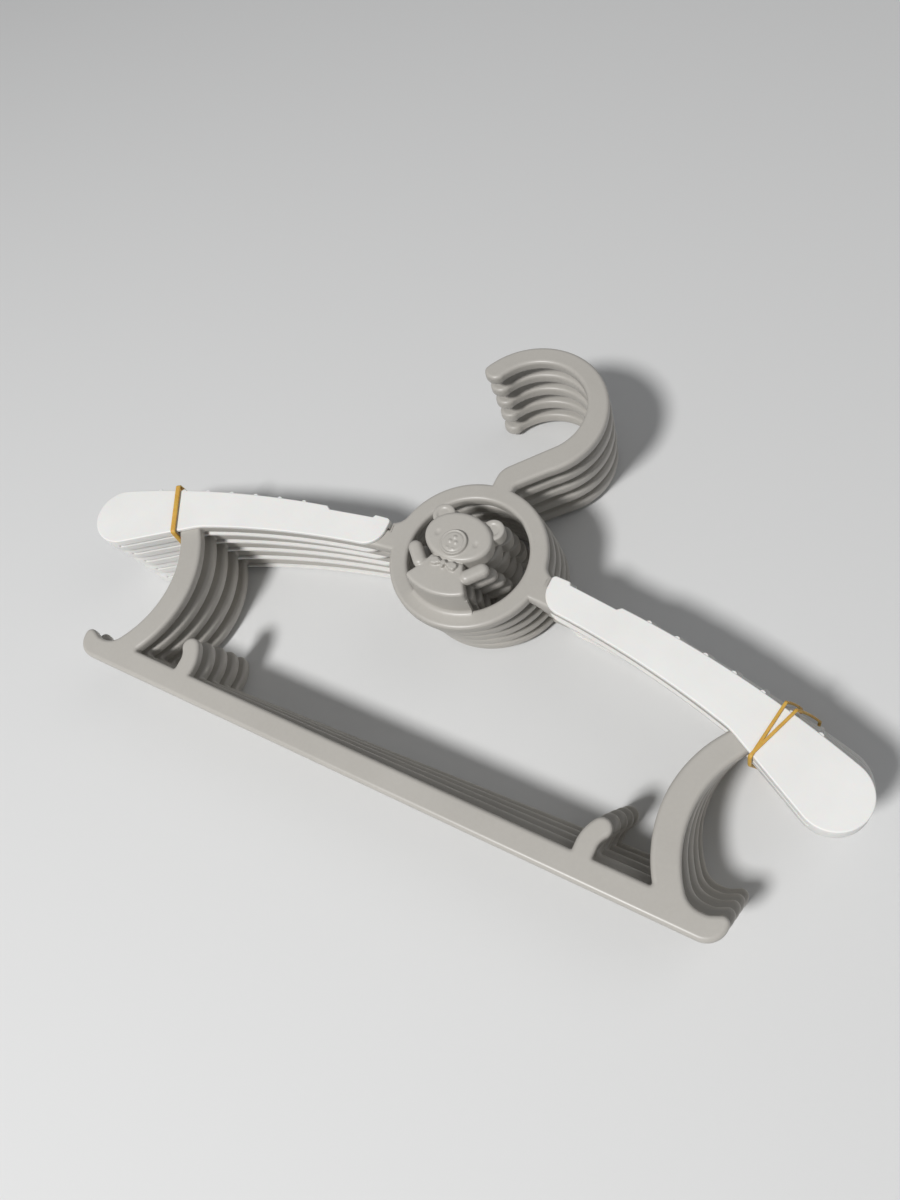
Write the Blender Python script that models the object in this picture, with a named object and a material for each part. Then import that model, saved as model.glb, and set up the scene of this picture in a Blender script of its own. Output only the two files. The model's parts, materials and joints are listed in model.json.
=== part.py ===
"""Bundle of five adjustable children's clothes hangers, tied with two rubber bands.

Each hanger is a grey moulding with a hook, a ring that holds a standing bear,
two curved arms, two braces and a trouser bar. A white shoulder sleeve slides
along each arm. Sizes are in metres. A hanger's own frame has its origin at the
centre of the ring, on the front face of the moulding, with Y towards the hook.
"""
import math

import bmesh
import bpy
from mathutils import Matrix, Vector

MM = 0.001

# The bundle
HANGER_COUNT = 5
STACK_GAP = 0.3 * MM
STACK_TILT = math.radians(1.5)
STACK_TWIST = math.radians(-0.57)
STACK_SIDE_STEP = 0.33 * MM
STACK_NEST_CLEARANCE = 0.95 * MM

# The grey moulding
PLATE_THICKNESS = 4.6 * MM
PLATE_EDGE = 1.1 * MM
RING_RADIUS = 28.3 * MM
RING_WIDTH = 6.7 * MM

# The hook and its neck
HOOK_RADIUS = 28.0 * MM
HOOK_SIDE = -3.7 * MM
HOOK_RISE = 61.6 * MM
HOOK_BORE_RADIUS = 19.6 * MM
HOOK_BORE_LIFT = 1.3 * MM
HOOK_TIP_ROUND = 3.2 * MM
HOOK_TIP_ANGLE = 161.0
HOOK_OUTER_END_ANGLE = -54.0
HOOK_INNER_END_ANGLE = -38.0
NECK_WIDTH = 7.9 * MM
NECK_INNER_HEIGHT = 6.4 * MM
NECK_INNER_ROUND = 8.0 * MM
NECK_OUTER_HEIGHT = 2.0 * MM
NECK_OUTER_ROUND = 4.5 * MM

# The arms, which follow a wide arc under the shoulder
SHOULDER_RADIUS = 355.2 * MM
SHOULDER_CENTRE_X = 8.5 * MM
SHOULDER_RISE = 2.7 * MM
ARM_STUB_LENGTH = 3.3 * MM
ARM_END_SETBACK = 11.4 * MM
ARM_ROOT_SETBACK = 1.4 * MM
ARM_BRACE_SETBACK = 0.4 * MM
ARM_TIP_TAPER = 2.6 * MM
ARM_TIP_ROUND = 3.0 * MM
ARM_FILLET = 6.0 * MM
ARM_UNDER_FILLET = 1.5 * MM

# The braces and the trouser bar
BRACE_INNER_X = 92.1 * MM
BRACE_WIDTH = 9.1 * MM
BRACE_CENTRE_DROP = 4.1 * MM
BRACE_INNER_RADIUS = 44.0 * MM
BRACE_OUTER_RADIUS = 38.0 * MM
BRACE_FOOT_ROUND = 2.0 * MM
BAR_TOP = -77.3 * MM
BAR_WIDTH = 8.6 * MM
BAR_HOLLOW_LENGTH = 2.2 * MM
BAR_TIP_LENGTH = 6.4 * MM
BAR_HOLLOW_DROP = 0.9 * MM
BAR_HOLLOW_ROUND = 7.0 * MM
BAR_TIP_LIFT = 0.8 * MM
BAR_TIP_ROUND = 2.2 * MM
BAR_CORNER_ROUND = 7.0 * MM

# The notch fingers on the bar
FINGER_BASE_X = 76.8 * MM
FINGER_WIDTH = 6.7 * MM
FINGER_LEAN = 2.3 * MM
FINGER_HEAD_RADIUS = 3.3 * MM
FINGER_HEIGHT = 12.7 * MM
FINGER_BACK_ROUND = 14.9 * MM
FINGER_NOTCH_ROUND = 6.0 * MM

# The sliding shoulder sleeves
SLEEVE_PLATE = 1.2 * MM
SLEEVE_TOP_WALL = 2.6 * MM
SLEEVE_RIM_WALL = 1.8 * MM
SLIDE_CLEARANCE = 0.3 * MM
SLEEVE_TRAVEL = 38.0 * MM
SLEEVE_ROOT_WIDTH = 11.6 * MM
SLEEVE_BRACE_WIDTH = 15.2 * MM
SLEEVE_INNER_ROUND = 8.0 * MM
SLEEVE_LIP_HEIGHT = 0.5 * MM
SLEEVE_LIP_LENGTH = 6.4 * MM
NOTCH_START_DEPTH = 0.6 * MM
NOTCH_END_DEPTH = 1.3 * MM
NOTCH_LENGTH = 18.1 * MM
PADDLE_RADIUS = 11.2 * MM
PADDLE_REACH = 34.2 * MM
PADDLE_KNEE_REACH = 1.1 * MM
PADDLE_KNEE_ROUND = 20.0 * MM
PADDLE_SLOT = 1.2 * MM
PADDLE_SLOT_SETBACK = 2.4 * MM
RIDGE_COUNT = 7
RIDGE_SETBACK = 11.2 * MM
RIDGE_PITCH = 10.2 * MM
RIDGE_RADIUS = 1.3 * MM
RIDGE_HEIGHT = 0.7 * MM
RIDGE_INSET = 0.3 * MM

# The bear and its curved pedestal
BEAR_LIFT = 6.7 * MM
PEDESTAL_SEAT = 0.6 * MM
PEDESTAL_WALL = 1.9 * MM
PEDESTAL_HALF_ANGLE = 31.0
HEAD_HALF_WIDTH = 12.1 * MM
HEAD_HALF_HEIGHT = 9.15 * MM
HEAD_CENTRE_Y = -0.5 * MM
HEAD_RELIEF = 2.1 * MM
HEAD_EDGE = 1.2 * MM
EAR_RADIUS = 4.0 * MM
EAR_X = 9.4 * MM
EAR_Y = 6.4 * MM
EAR_RELIEF = 3.9 * MM
SNOUT_RADIUS = 4.7 * MM
SNOUT_Y = -3.4 * MM
SNOUT_RELIEF = 0.55 * MM
NOSE_DOT_RADIUS = 0.75 * MM
NOSE_DOT_SPREAD = 1.2 * MM
EYE_RADIUS = 0.9 * MM
EYE_X = 7.2 * MM
EYE_Y = -1.5 * MM
EYE_DEPTH = 0.5 * MM
BODY_NECK_X = 6.0 * MM
BODY_NECK_Y = -9.0 * MM
BODY_WAIST_X = 8.0 * MM
BODY_WAIST_Y = -13.6 * MM
BODY_HEM_ANGLE = 30.0
BODY_RELIEF = 2.8 * MM
PAW_RADIUS = 2.4 * MM
PAW_TIP_X = 12.7 * MM
PAW_TIP_Y = -8.6 * MM
PAW_ROOT_X = 8.9 * MM
PAW_ROOT_Y = -12.6 * MM
PAW_RELIEF = 2.0 * MM
PAW_EDGE = 0.8 * MM
BOW_HALF_WIDTH = 5.5 * MM
BOW_HALF_HEIGHT = 1.7 * MM
BOW_KNOT_HALF_HEIGHT = 0.8 * MM
BOW_Y = -11.4 * MM
BOW_RELIEF = 1.3 * MM

# The rubber bands
LEFT_BAND_WIDTH = 1.8 * MM
RIGHT_BAND_WIDTH = 1.4 * MM
BAND_THICKNESS = 0.9 * MM
BAND_CLEARANCE = 0.3 * MM
LEFT_BAND_REACH = 10.8 * MM
LEFT_BAND_LEAN = 7.1 * MM
RIGHT_BAND_REACH = 10.5 * MM
RIGHT_BAND_NEAR_LEAN = 2.7 * MM
RIGHT_BAND_FAR_LEAN = 6.0 * MM

# Derived sizes
OVERRUN = 5.0 * MM
WELD_DISTANCE = 0.001 * MM
FLAT_ANGLE = math.radians(0.05)
shoulder_centre = Vector((SHOULDER_CENTRE_X, SHOULDER_RISE - SHOULDER_RADIUS))
sleeve_front = SLIDE_CLEARANCE + SLEEVE_PLATE
sleeve_back = -PLATE_THICKNESS - SLIDE_CLEARANCE - SLEEVE_PLATE
arm_top_radius = SHOULDER_RADIUS - SLEEVE_TOP_WALL - SLIDE_CLEARANCE
arm_root_radius = SHOULDER_RADIUS - SLEEVE_ROOT_WIDTH + ARM_ROOT_SETBACK
arm_brace_radius = SHOULDER_RADIUS - SLEEVE_BRACE_WIDTH + ARM_BRACE_SETBACK
arm_tip_radius = arm_brace_radius + ARM_TIP_TAPER
arm_stub_end = RING_RADIUS + ARM_STUB_LENGTH
lip_end_x = arm_stub_end + SLIDE_CLEARANCE + SLEEVE_LIP_LENGTH
notch_end_x = lip_end_x + NOTCH_LENGTH
brace_outer_x = BRACE_INNER_X + BRACE_WIDTH
paddle_centre_x = brace_outer_x + PADDLE_REACH
paddle_knee_x = brace_outer_x + PADDLE_KNEE_REACH
arm_end = paddle_centre_x - ARM_END_SETBACK
arm_low_y = shoulder_centre.y + math.sqrt(arm_brace_radius ** 2 - (BRACE_INNER_X - SHOULDER_CENTRE_X) ** 2)
brace_centre_y = (BAR_TOP + arm_low_y) / 2 - BRACE_CENTRE_DROP
brace_inner_centre = Vector((BRACE_INNER_X + BRACE_INNER_RADIUS, brace_centre_y))
brace_outer_centre = Vector((brace_outer_x + BRACE_OUTER_RADIUS, brace_centre_y))
bar_bottom = BAR_TOP - BAR_WIDTH
finger_head_x = FINGER_BASE_X + FINGER_LEAN
pedestal_radius = RING_RADIUS - RING_WIDTH + PEDESTAL_SEAT
paddle_orbit = SHOULDER_RADIUS - PADDLE_RADIUS
paddle_bearing = math.asin((paddle_centre_x - SHOULDER_CENTRE_X) / paddle_orbit)
travel_angle = SLEEVE_TRAVEL / SHOULDER_RADIUS
lowest_paddle_y = (
    shoulder_centre.y + paddle_orbit * math.cos(paddle_bearing + travel_angle) - PADDLE_RADIUS
)
stack_pitch = sleeve_front - sleeve_back + STACK_GAP - math.sin(STACK_TILT) * lowest_paddle_y
stack_back_step = PEDESTAL_WALL + STACK_NEST_CLEARANCE
nose_top = BEAR_LIFT + stack_pitch - STACK_GAP


def arc(centre, radius, first, last, steps):
    """Points on a circle between two angles in degrees, both ends included."""
    points = []
    for step in range(steps + 1):
        angle = math.radians(first + (last - first) * step / steps)
        points.append((centre[0] + radius * math.cos(angle), centre[1] + radius * math.sin(angle), 0.0))
    return points


def bearing_at(x, radius):
    """Angle from straight up, seen from the shoulder centre, of the place with this x."""
    return math.asin((x - SHOULDER_CENTRE_X) / radius)


def on_arm(bearing, radius):
    """Place at a bearing and a distance from the shoulder centre."""
    return shoulder_centre + radius * Vector((math.sin(bearing), math.cos(bearing)))


def arm_curve(first_x, last_x, first_radius, last_radius, steps):
    """Points along the arm whose distance from the shoulder centre changes evenly."""
    points = []
    first = bearing_at(first_x, first_radius)
    last = bearing_at(last_x, last_radius)
    for step in range(steps + 1):
        share = step / steps
        place = on_arm(first + (last - first) * share, first_radius + (last_radius - first_radius) * share)
        points.append((place.x, place.y, 0.0))
    return points


def circle_crossing(first_centre, first_radius, second_centre, second_radius, side):
    """Crossing of two circles, on the left (1) or right (-1) of the line between their centres."""
    line = Vector(second_centre) - Vector(first_centre)
    along = (line.length_squared + first_radius ** 2 - second_radius ** 2) / (2 * line.length)
    across = math.sqrt(first_radius ** 2 - along ** 2)
    unit = line.normalized()
    return Vector(first_centre) + unit * along + side * across * Vector((-unit.y, unit.x))


def rounded(corners, steps=3):
    """Closed loop of places from corners, each of them x, y and the radius of its rounding."""
    loop = []
    for index, (x, y, radius) in enumerate(corners):
        corner = Vector((x, y))
        if radius == 0.0:
            loop.append(corner)
            continue
        before = Vector(corners[index - 1][:2]) - corner
        after = Vector(corners[(index + 1) % len(corners)][:2]) - corner
        half_angle = before.angle(after) / 2
        room = 0.48 * min(before.length, after.length)
        trim = min(radius / math.tan(half_angle), room)
        true_radius = trim * math.tan(half_angle)
        inward = (before.normalized() + after.normalized()).normalized()
        centre = corner + inward * true_radius / math.sin(half_angle)
        start = corner + before.normalized() * trim - centre
        end = corner + after.normalized() * trim - centre
        sweep = start.angle_signed(end)
        for step in range(steps + 1):
            turned = start.copy()
            turned.rotate(Matrix.Rotation(-sweep * step / steps, 2))
            loop.append(centre + turned)
    return loop


def mirrored(corners):
    """The same corners on the left of the hanger, in the opposite order."""
    return [(-x, y, radius) for x, y, radius in reversed(corners)]


def remove_object(item):
    data = item.data
    bpy.data.objects.remove(item)
    if isinstance(data, bpy.types.Curve):
        bpy.data.curves.remove(data)


def evaluated_mesh(item):
    bpy.context.view_layer.update()
    depsgraph = bpy.context.evaluated_depsgraph_get()
    return bpy.data.meshes.new_from_object(item.evaluated_get(depsgraph))


def outline_solid(name, loops, low, high, edge=0.0):
    """Flat solid between two heights. Loops after the first are holes."""
    curve = bpy.data.curves.new(name, "CURVE")
    curve.dimensions = "2D"
    curve.fill_mode = "BOTH"
    curve.extrude = (high - low) / 2 - edge
    curve.bevel_depth = edge
    curve.bevel_resolution = 0
    curve.offset = -edge
    for loop in loops:
        spline = curve.splines.new("POLY")
        spline.points.add(len(loop) - 1)
        for point, place in zip(spline.points, loop):
            point.co = (place[0], place[1], 0.0, 1.0)
        spline.use_cyclic_u = True
    guide = bpy.data.objects.new(name, curve)
    workbench.objects.link(guide)
    mesh = evaluated_mesh(guide)
    remove_object(guide)
    mesh.transform(Matrix.Translation((0.0, 0.0, (low + high) / 2)))
    shape = bmesh.new()
    shape.from_mesh(mesh)
    bmesh.ops.remove_doubles(shape, verts=shape.verts, dist=WELD_DISTANCE)
    bmesh.ops.recalc_face_normals(shape, faces=shape.faces)
    shape.to_mesh(mesh)
    shape.free()
    solid = bpy.data.objects.new(name, mesh)
    workbench.objects.link(solid)
    return solid


def round_solid(name, centre, radius, low, high, sides):
    """Round peg along Z."""
    mesh = bpy.data.meshes.new(name)
    shape = bmesh.new()
    place = Matrix.Translation((centre[0], centre[1], (low + high) / 2))
    bmesh.ops.create_cone(
        shape,
        cap_ends=True,
        segments=sides,
        radius1=radius,
        radius2=radius,
        depth=high - low,
        matrix=place,
    )
    shape.to_mesh(mesh)
    shape.free()
    solid = bpy.data.objects.new(name, mesh)
    workbench.objects.link(solid)
    return solid


def combine(target, tool, operation):
    """Join a tool to a solid or cut it away, and keep only the result."""
    modifier = target.modifiers.new(operation, "BOOLEAN")
    modifier.operation = operation
    modifier.solver = "EXACT"
    modifier.object = tool
    result = evaluated_mesh(target)
    target.modifiers.clear()
    target.data = result
    remove_object(tool)


def join_all(target, tools):
    for tool in tools:
        combine(target, tool, "UNION")


def merge_flat_faces(solid):
    """Take out the seams that cuts and joins leave in flat faces."""
    shape = bmesh.new()
    shape.from_mesh(solid.data)
    bmesh.ops.dissolve_limit(shape, angle_limit=FLAT_ANGLE, verts=shape.verts, edges=shape.edges)
    shape.to_mesh(solid.data)
    shape.free()


def hook_corners():
    """Neck and hook, from the ring's left of the neck round to its right."""
    half_neck = NECK_WIDTH / 2
    ring_y = math.sqrt(RING_RADIUS ** 2 - half_neck ** 2)
    outer_centre = (HOOK_SIDE, HOOK_RISE)
    bore_centre = (HOOK_SIDE, HOOK_RISE + HOOK_BORE_LIFT)
    inner = arc(bore_centre, HOOK_BORE_RADIUS, HOOK_INNER_END_ANGLE, HOOK_TIP_ANGLE, 13)
    outer = arc(outer_centre, HOOK_RADIUS, HOOK_TIP_ANGLE, HOOK_OUTER_END_ANGLE, 15)
    inner[-1] = (inner[-1][0], inner[-1][1], HOOK_TIP_ROUND)
    outer[0] = (outer[0][0], outer[0][1], HOOK_TIP_ROUND)
    left_neck = [
        (-half_neck, ring_y, 0.0),
        (-half_neck, RING_RADIUS + NECK_INNER_HEIGHT, NECK_INNER_ROUND),
    ]
    right_neck = [
        (half_neck, RING_RADIUS + NECK_OUTER_HEIGHT, NECK_OUTER_ROUND),
        (half_neck, ring_y, 0.0),
    ]
    return left_neck + inner + outer + right_neck


def angle_of(centre, place):
    return math.degrees(math.atan2(place[1] - centre[1], place[0] - centre[0]))


def bar_hollow_centre():
    """Centre of the round that leads from the brace's outer edge into the hollow on the bar."""
    centre_y = BAR_TOP - BAR_HOLLOW_DROP + BAR_HOLLOW_ROUND
    inner_radius = BRACE_OUTER_RADIUS - BAR_HOLLOW_ROUND
    aside = math.sqrt(inner_radius ** 2 - (centre_y - brace_centre_y) ** 2)
    return Vector((brace_outer_centre.x - aside, centre_y))


def outer_right_corners():
    """Right half of the outside, from the neck down to the end of the bar."""
    neck_angle = math.degrees(math.acos(NECK_WIDTH / 2 / RING_RADIUS))
    fillet_centre = circle_crossing(
        (0.0, 0.0), RING_RADIUS + ARM_FILLET, shoulder_centre, SHOULDER_RADIUS + ARM_FILLET, 1
    )
    ring_touch = angle_of((0.0, 0.0), fillet_centre)
    fillet_end = -math.degrees(math.acos((arm_stub_end - fillet_centre.x) / ARM_FILLET))
    corners = arc((0.0, 0.0), RING_RADIUS, neck_angle, ring_touch, 5)[1:-1]
    corners += arc(fillet_centre, ARM_FILLET, ring_touch - 180.0, fillet_end, 3)

    tip_bearing = bearing_at(arm_end, arm_top_radius)
    tip_low = on_arm(tip_bearing, arm_tip_radius)
    brace_top = circle_crossing(
        shoulder_centre, arm_tip_radius, brace_outer_centre, BRACE_OUTER_RADIUS, 1
    )
    stub_foot = on_arm(bearing_at(arm_stub_end, SHOULDER_RADIUS), arm_top_radius)
    corners += arm_curve(stub_foot.x, arm_end, arm_top_radius, arm_top_radius, 6)[:-1]
    tip_top = on_arm(tip_bearing, arm_top_radius)
    corners.append((tip_top.x, tip_top.y, ARM_TIP_ROUND))
    corners.append((tip_low.x, tip_low.y, ARM_TIP_ROUND))
    corners.append((brace_top.x, brace_top.y, 0.0))

    hollow_centre = bar_hollow_centre()
    hollow_floor = hollow_centre.y - BAR_HOLLOW_ROUND
    tip_start_x = hollow_centre.x + BAR_HOLLOW_LENGTH
    bar_end_x = tip_start_x + BAR_TIP_LENGTH
    brace_start = angle_of(brace_outer_centre, brace_top) % 360.0
    hollow_touch = angle_of(brace_outer_centre, hollow_centre) % 360.0
    corners += arc(brace_outer_centre, BRACE_OUTER_RADIUS, brace_start, hollow_touch, 7)[1:]
    corners += arc(hollow_centre, BAR_HOLLOW_ROUND, hollow_touch, 270.0, 3)[1:]
    corners.append((tip_start_x, hollow_floor, BAR_TIP_ROUND))
    tip_centre = (bar_end_x - BAR_TIP_ROUND, BAR_TOP + BAR_TIP_LIFT - BAR_TIP_ROUND)
    corner_centre = (bar_end_x - BAR_CORNER_ROUND, bar_bottom + BAR_CORNER_ROUND)
    corners += arc(tip_centre, BAR_TIP_ROUND, 110.0, 10.0, 3)
    corners += arc(corner_centre, BAR_CORNER_ROUND, 0.0, -90.0, 4)
    return corners


def window_right_corners():
    """Right half of the window between the ring, an arm, a brace and the bar."""
    root = circle_crossing((0.0, 0.0), RING_RADIUS, shoulder_centre, arm_root_radius, 1)
    brace_top = circle_crossing(
        shoulder_centre, arm_brace_radius, brace_inner_centre, BRACE_INNER_RADIUS, 1
    )
    root_angle = angle_of((0.0, 0.0), root)
    corners = arc((0.0, 0.0), RING_RADIUS, -90.0, root_angle, 6)
    under_arm = arm_curve(root.x, brace_top.x, arm_root_radius, arm_brace_radius, 7)
    corners += under_arm[1:-1]
    corners.append((brace_top.x, brace_top.y, ARM_UNDER_FILLET))
    foot_drop = BAR_TOP - brace_centre_y
    foot_x = brace_inner_centre.x - math.sqrt(BRACE_INNER_RADIUS ** 2 - foot_drop ** 2)
    brace_start = angle_of(brace_inner_centre, brace_top) % 360.0
    brace_end = angle_of(brace_inner_centre, (foot_x, BAR_TOP)) % 360.0
    corners += arc(brace_inner_centre, BRACE_INNER_RADIUS, brace_start, brace_end, 7)[1:-1]
    corners.append((foot_x, BAR_TOP, BRACE_FOOT_ROUND))
    return corners + finger_corners()


def finger_corners():
    """Notch finger on the bar, bent outwards like a thumb, with a round head."""
    near_x = FINGER_BASE_X - FINGER_WIDTH / 2
    far_x = FINGER_BASE_X + FINGER_WIDTH / 2
    head_centre = Vector((finger_head_x, BAR_TOP + FINGER_HEIGHT - FINGER_HEAD_RADIUS))
    back_x = near_x + FINGER_BACK_ROUND
    back_reach = FINGER_BACK_ROUND - FINGER_HEAD_RADIUS
    back_drop = math.sqrt(back_reach ** 2 - (back_x - head_centre.x) ** 2)
    back_centre = Vector((back_x, head_centre.y - back_drop))
    notch_x = far_x + FINGER_NOTCH_ROUND
    notch_reach = FINGER_NOTCH_ROUND + FINGER_HEAD_RADIUS
    notch_drop = math.sqrt(notch_reach ** 2 - (notch_x - head_centre.x) ** 2)
    notch_centre = Vector((notch_x, head_centre.y - notch_drop))
    head_start = angle_of(head_centre, notch_centre)
    head_end = angle_of(back_centre, head_centre)
    corners = [(far_x, BAR_TOP, 0.0)]
    corners += arc(notch_centre, FINGER_NOTCH_ROUND, 180.0, head_start + 180.0, 2)
    corners += arc(head_centre, FINGER_HEAD_RADIUS, head_start, head_end, 6)[1:]
    corners += arc(back_centre, FINGER_BACK_ROUND, head_end, 180.0, 3)[1:]
    corners.append((near_x, BAR_TOP, 0.0))
    return corners


def moulding_plate():
    """The flat part of the hanger: hook, ring, arms, braces and bar."""
    right = outer_right_corners()
    outside = rounded(hook_corners() + right + mirrored(right))
    window_right = window_right_corners()
    window = rounded(window_right + mirrored(window_right[1:]))
    bore = rounded(arc((0.0, 0.0), RING_RADIUS - RING_WIDTH, 0.0, 345.0, 23))
    return outline_solid("moulding", [outside, window, bore], -PLATE_THICKNESS, 0.0)


def pedestal():
    """Curved wall that carries the bear on the lower part of the ring."""
    first = -90.0 - PEDESTAL_HALF_ANGLE
    last = -90.0 + PEDESTAL_HALF_ANGLE
    outer = arc((0.0, 0.0), pedestal_radius, first, last, 6)
    inner = arc((0.0, 0.0), pedestal_radius - PEDESTAL_WALL, last, first, 6)
    low = PLATE_EDGE - PLATE_THICKNESS
    return outline_solid("pedestal", [rounded(outer + inner)], low, BEAR_LIFT + PLATE_EDGE)


def bear_body():
    """Bell-shaped body whose hem follows the pedestal."""
    hem = arc((0.0, 0.0), pedestal_radius, -90.0 - BODY_HEM_ANGLE, -90.0 + BODY_HEM_ANGLE, 6)
    sides = [
        (BODY_WAIST_X, BODY_WAIST_Y, 0.0),
        (BODY_NECK_X, BODY_NECK_Y, 0.0),
        (-BODY_NECK_X, BODY_NECK_Y, 0.0),
        (-BODY_WAIST_X, BODY_WAIST_Y, 0.0),
    ]
    return outline_solid("body", [rounded(hem + sides)], BEAR_LIFT, nose_top - BODY_RELIEF, PLATE_EDGE)


def bear_head():
    head = []
    for x, y, radius in arc((0.0, 0.0), HEAD_HALF_WIDTH, 0.0, 342.0, 19):
        head.append((x, HEAD_CENTRE_Y + y * HEAD_HALF_HEIGHT / HEAD_HALF_WIDTH, radius))
    return outline_solid("head", [rounded(head)], BEAR_LIFT, nose_top - HEAD_RELIEF, HEAD_EDGE)


def bear_paw(side):
    """Raised paw, a short bar with round ends."""
    tip = Vector((side * PAW_TIP_X, PAW_TIP_Y))
    root = Vector((side * PAW_ROOT_X, PAW_ROOT_Y))
    lean = angle_of(root, tip)
    ends = arc(tip, PAW_RADIUS, lean - 90.0, lean + 90.0, 5)
    ends += arc(root, PAW_RADIUS, lean + 90.0, lean + 270.0, 3)
    return outline_solid("paw", [rounded(ends)], BEAR_LIFT, nose_top - PAW_RELIEF, PAW_EDGE)


def bear_bow():
    """Bow tie between head and body."""
    right = [
        (BOW_HALF_WIDTH / 4, BOW_Y + BOW_KNOT_HALF_HEIGHT, 0.0),
        (BOW_HALF_WIDTH, BOW_Y + BOW_HALF_HEIGHT, 0.0),
        (BOW_HALF_WIDTH, BOW_Y - BOW_HALF_HEIGHT, 0.0),
        (BOW_HALF_WIDTH / 4, BOW_Y - BOW_KNOT_HALF_HEIGHT, 0.0),
    ]
    bow_bottom = nose_top - BODY_RELIEF - PLATE_EDGE
    return outline_solid("bow", [rounded(right + mirrored(right))], bow_bottom, nose_top - BOW_RELIEF)


def bear_pieces():
    head_top = nose_top - HEAD_RELIEF
    snout_top = nose_top - SNOUT_RELIEF
    snout_centre = (0.0, SNOUT_Y)
    pieces = [bear_body(), bear_head(), bear_paw(1), bear_paw(-1), bear_bow()]
    for side in (1, -1):
        ear_centre = (side * EAR_X, EAR_Y)
        pieces.append(round_solid("ear", ear_centre, EAR_RADIUS, BEAR_LIFT, nose_top - EAR_RELIEF, 12))
    pieces.append(
        round_solid("snout", snout_centre, SNOUT_RADIUS, head_top - HEAD_EDGE, snout_top, 14)
    )
    for angle in (90.0, 210.0, 330.0):
        dot = arc((0.0, SNOUT_Y), NOSE_DOT_SPREAD, angle, angle, 1)[0]
        pieces.append(round_solid("nose", dot, NOSE_DOT_RADIUS, snout_top - EYE_DEPTH, nose_top, 6))
    return pieces


def hanger_moulding():
    """The whole grey moulding, in one piece."""
    moulding = moulding_plate()
    join_all(moulding, [pedestal()] + bear_pieces())
    eye_low = nose_top - HEAD_RELIEF - EYE_DEPTH
    for side in (1, -1):
        eye = round_solid("eye", (side * EYE_X, EYE_Y), EYE_RADIUS, eye_low, nose_top, 6)
        combine(moulding, eye, "DIFFERENCE")
    merge_flat_faces(moulding)
    return moulding


def paddle_centre():
    return on_arm(paddle_bearing, paddle_orbit)


def sleeve_corners():
    """Outline of the right sleeve, from its inner end round the paddle and back."""
    lip_radius = SHOULDER_RADIUS + SLEEVE_LIP_HEIGHT
    start = bearing_at(arm_stub_end, SHOULDER_RADIUS) + SLIDE_CLEARANCE / SHOULDER_RADIUS
    root_radius = SHOULDER_RADIUS - SLEEVE_ROOT_WIDTH
    knee_radius = SHOULDER_RADIUS - SLEEVE_BRACE_WIDTH
    notch_start = on_arm(
        bearing_at(lip_end_x + NOTCH_START_DEPTH, SHOULDER_RADIUS), SHOULDER_RADIUS - NOTCH_START_DEPTH
    )
    notch_end = on_arm(bearing_at(notch_end_x, SHOULDER_RADIUS), SHOULDER_RADIUS - NOTCH_END_DEPTH)
    lip_start = on_arm(start, lip_radius)
    lip_end = on_arm(bearing_at(lip_end_x, lip_radius), lip_radius)
    round_bearing = start + SLEEVE_INNER_ROUND / root_radius
    round_centre = on_arm(round_bearing, root_radius + SLEEVE_INNER_ROUND)
    round_angle = -90.0 - math.degrees(round_bearing)
    centre = paddle_centre()
    knee = on_arm(bearing_at(paddle_knee_x, knee_radius), knee_radius)
    first_angle = 90.0 - math.degrees(paddle_bearing)
    corners = [
        (lip_start.x, lip_start.y, SLEEVE_LIP_HEIGHT),
        (lip_end.x, lip_end.y, 0.0),
        (notch_start.x, notch_start.y, 0.0),
        (notch_end.x, notch_end.y, 0.0),
    ]
    peak_x = notch_end_x + NOTCH_END_DEPTH
    paddle_x = on_arm(paddle_bearing, SHOULDER_RADIUS).x
    corners += arm_curve(peak_x, paddle_x, SHOULDER_RADIUS, SHOULDER_RADIUS, 8)[:-1]
    corners += arc(centre, PADDLE_RADIUS, first_angle, paddle_lower_angle(knee), 9)
    round_start = on_arm(round_bearing, root_radius)
    corners.append((knee.x, knee.y, PADDLE_KNEE_ROUND))
    corners += arm_curve(paddle_knee_x, round_start.x, knee_radius, root_radius, 5)[1:-1]
    corners += arc(round_centre, SLEEVE_INNER_ROUND, round_angle, round_angle - 90.0, 4)
    return corners


def paddle_lower_angle(knee):
    """Direction in which the straight lower edge from the knee touches the paddle's round end."""
    line = knee - paddle_centre()
    return math.degrees(math.atan2(line.y, line.x) + math.acos(PADDLE_RADIUS / line.length)) - 360.0


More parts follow.
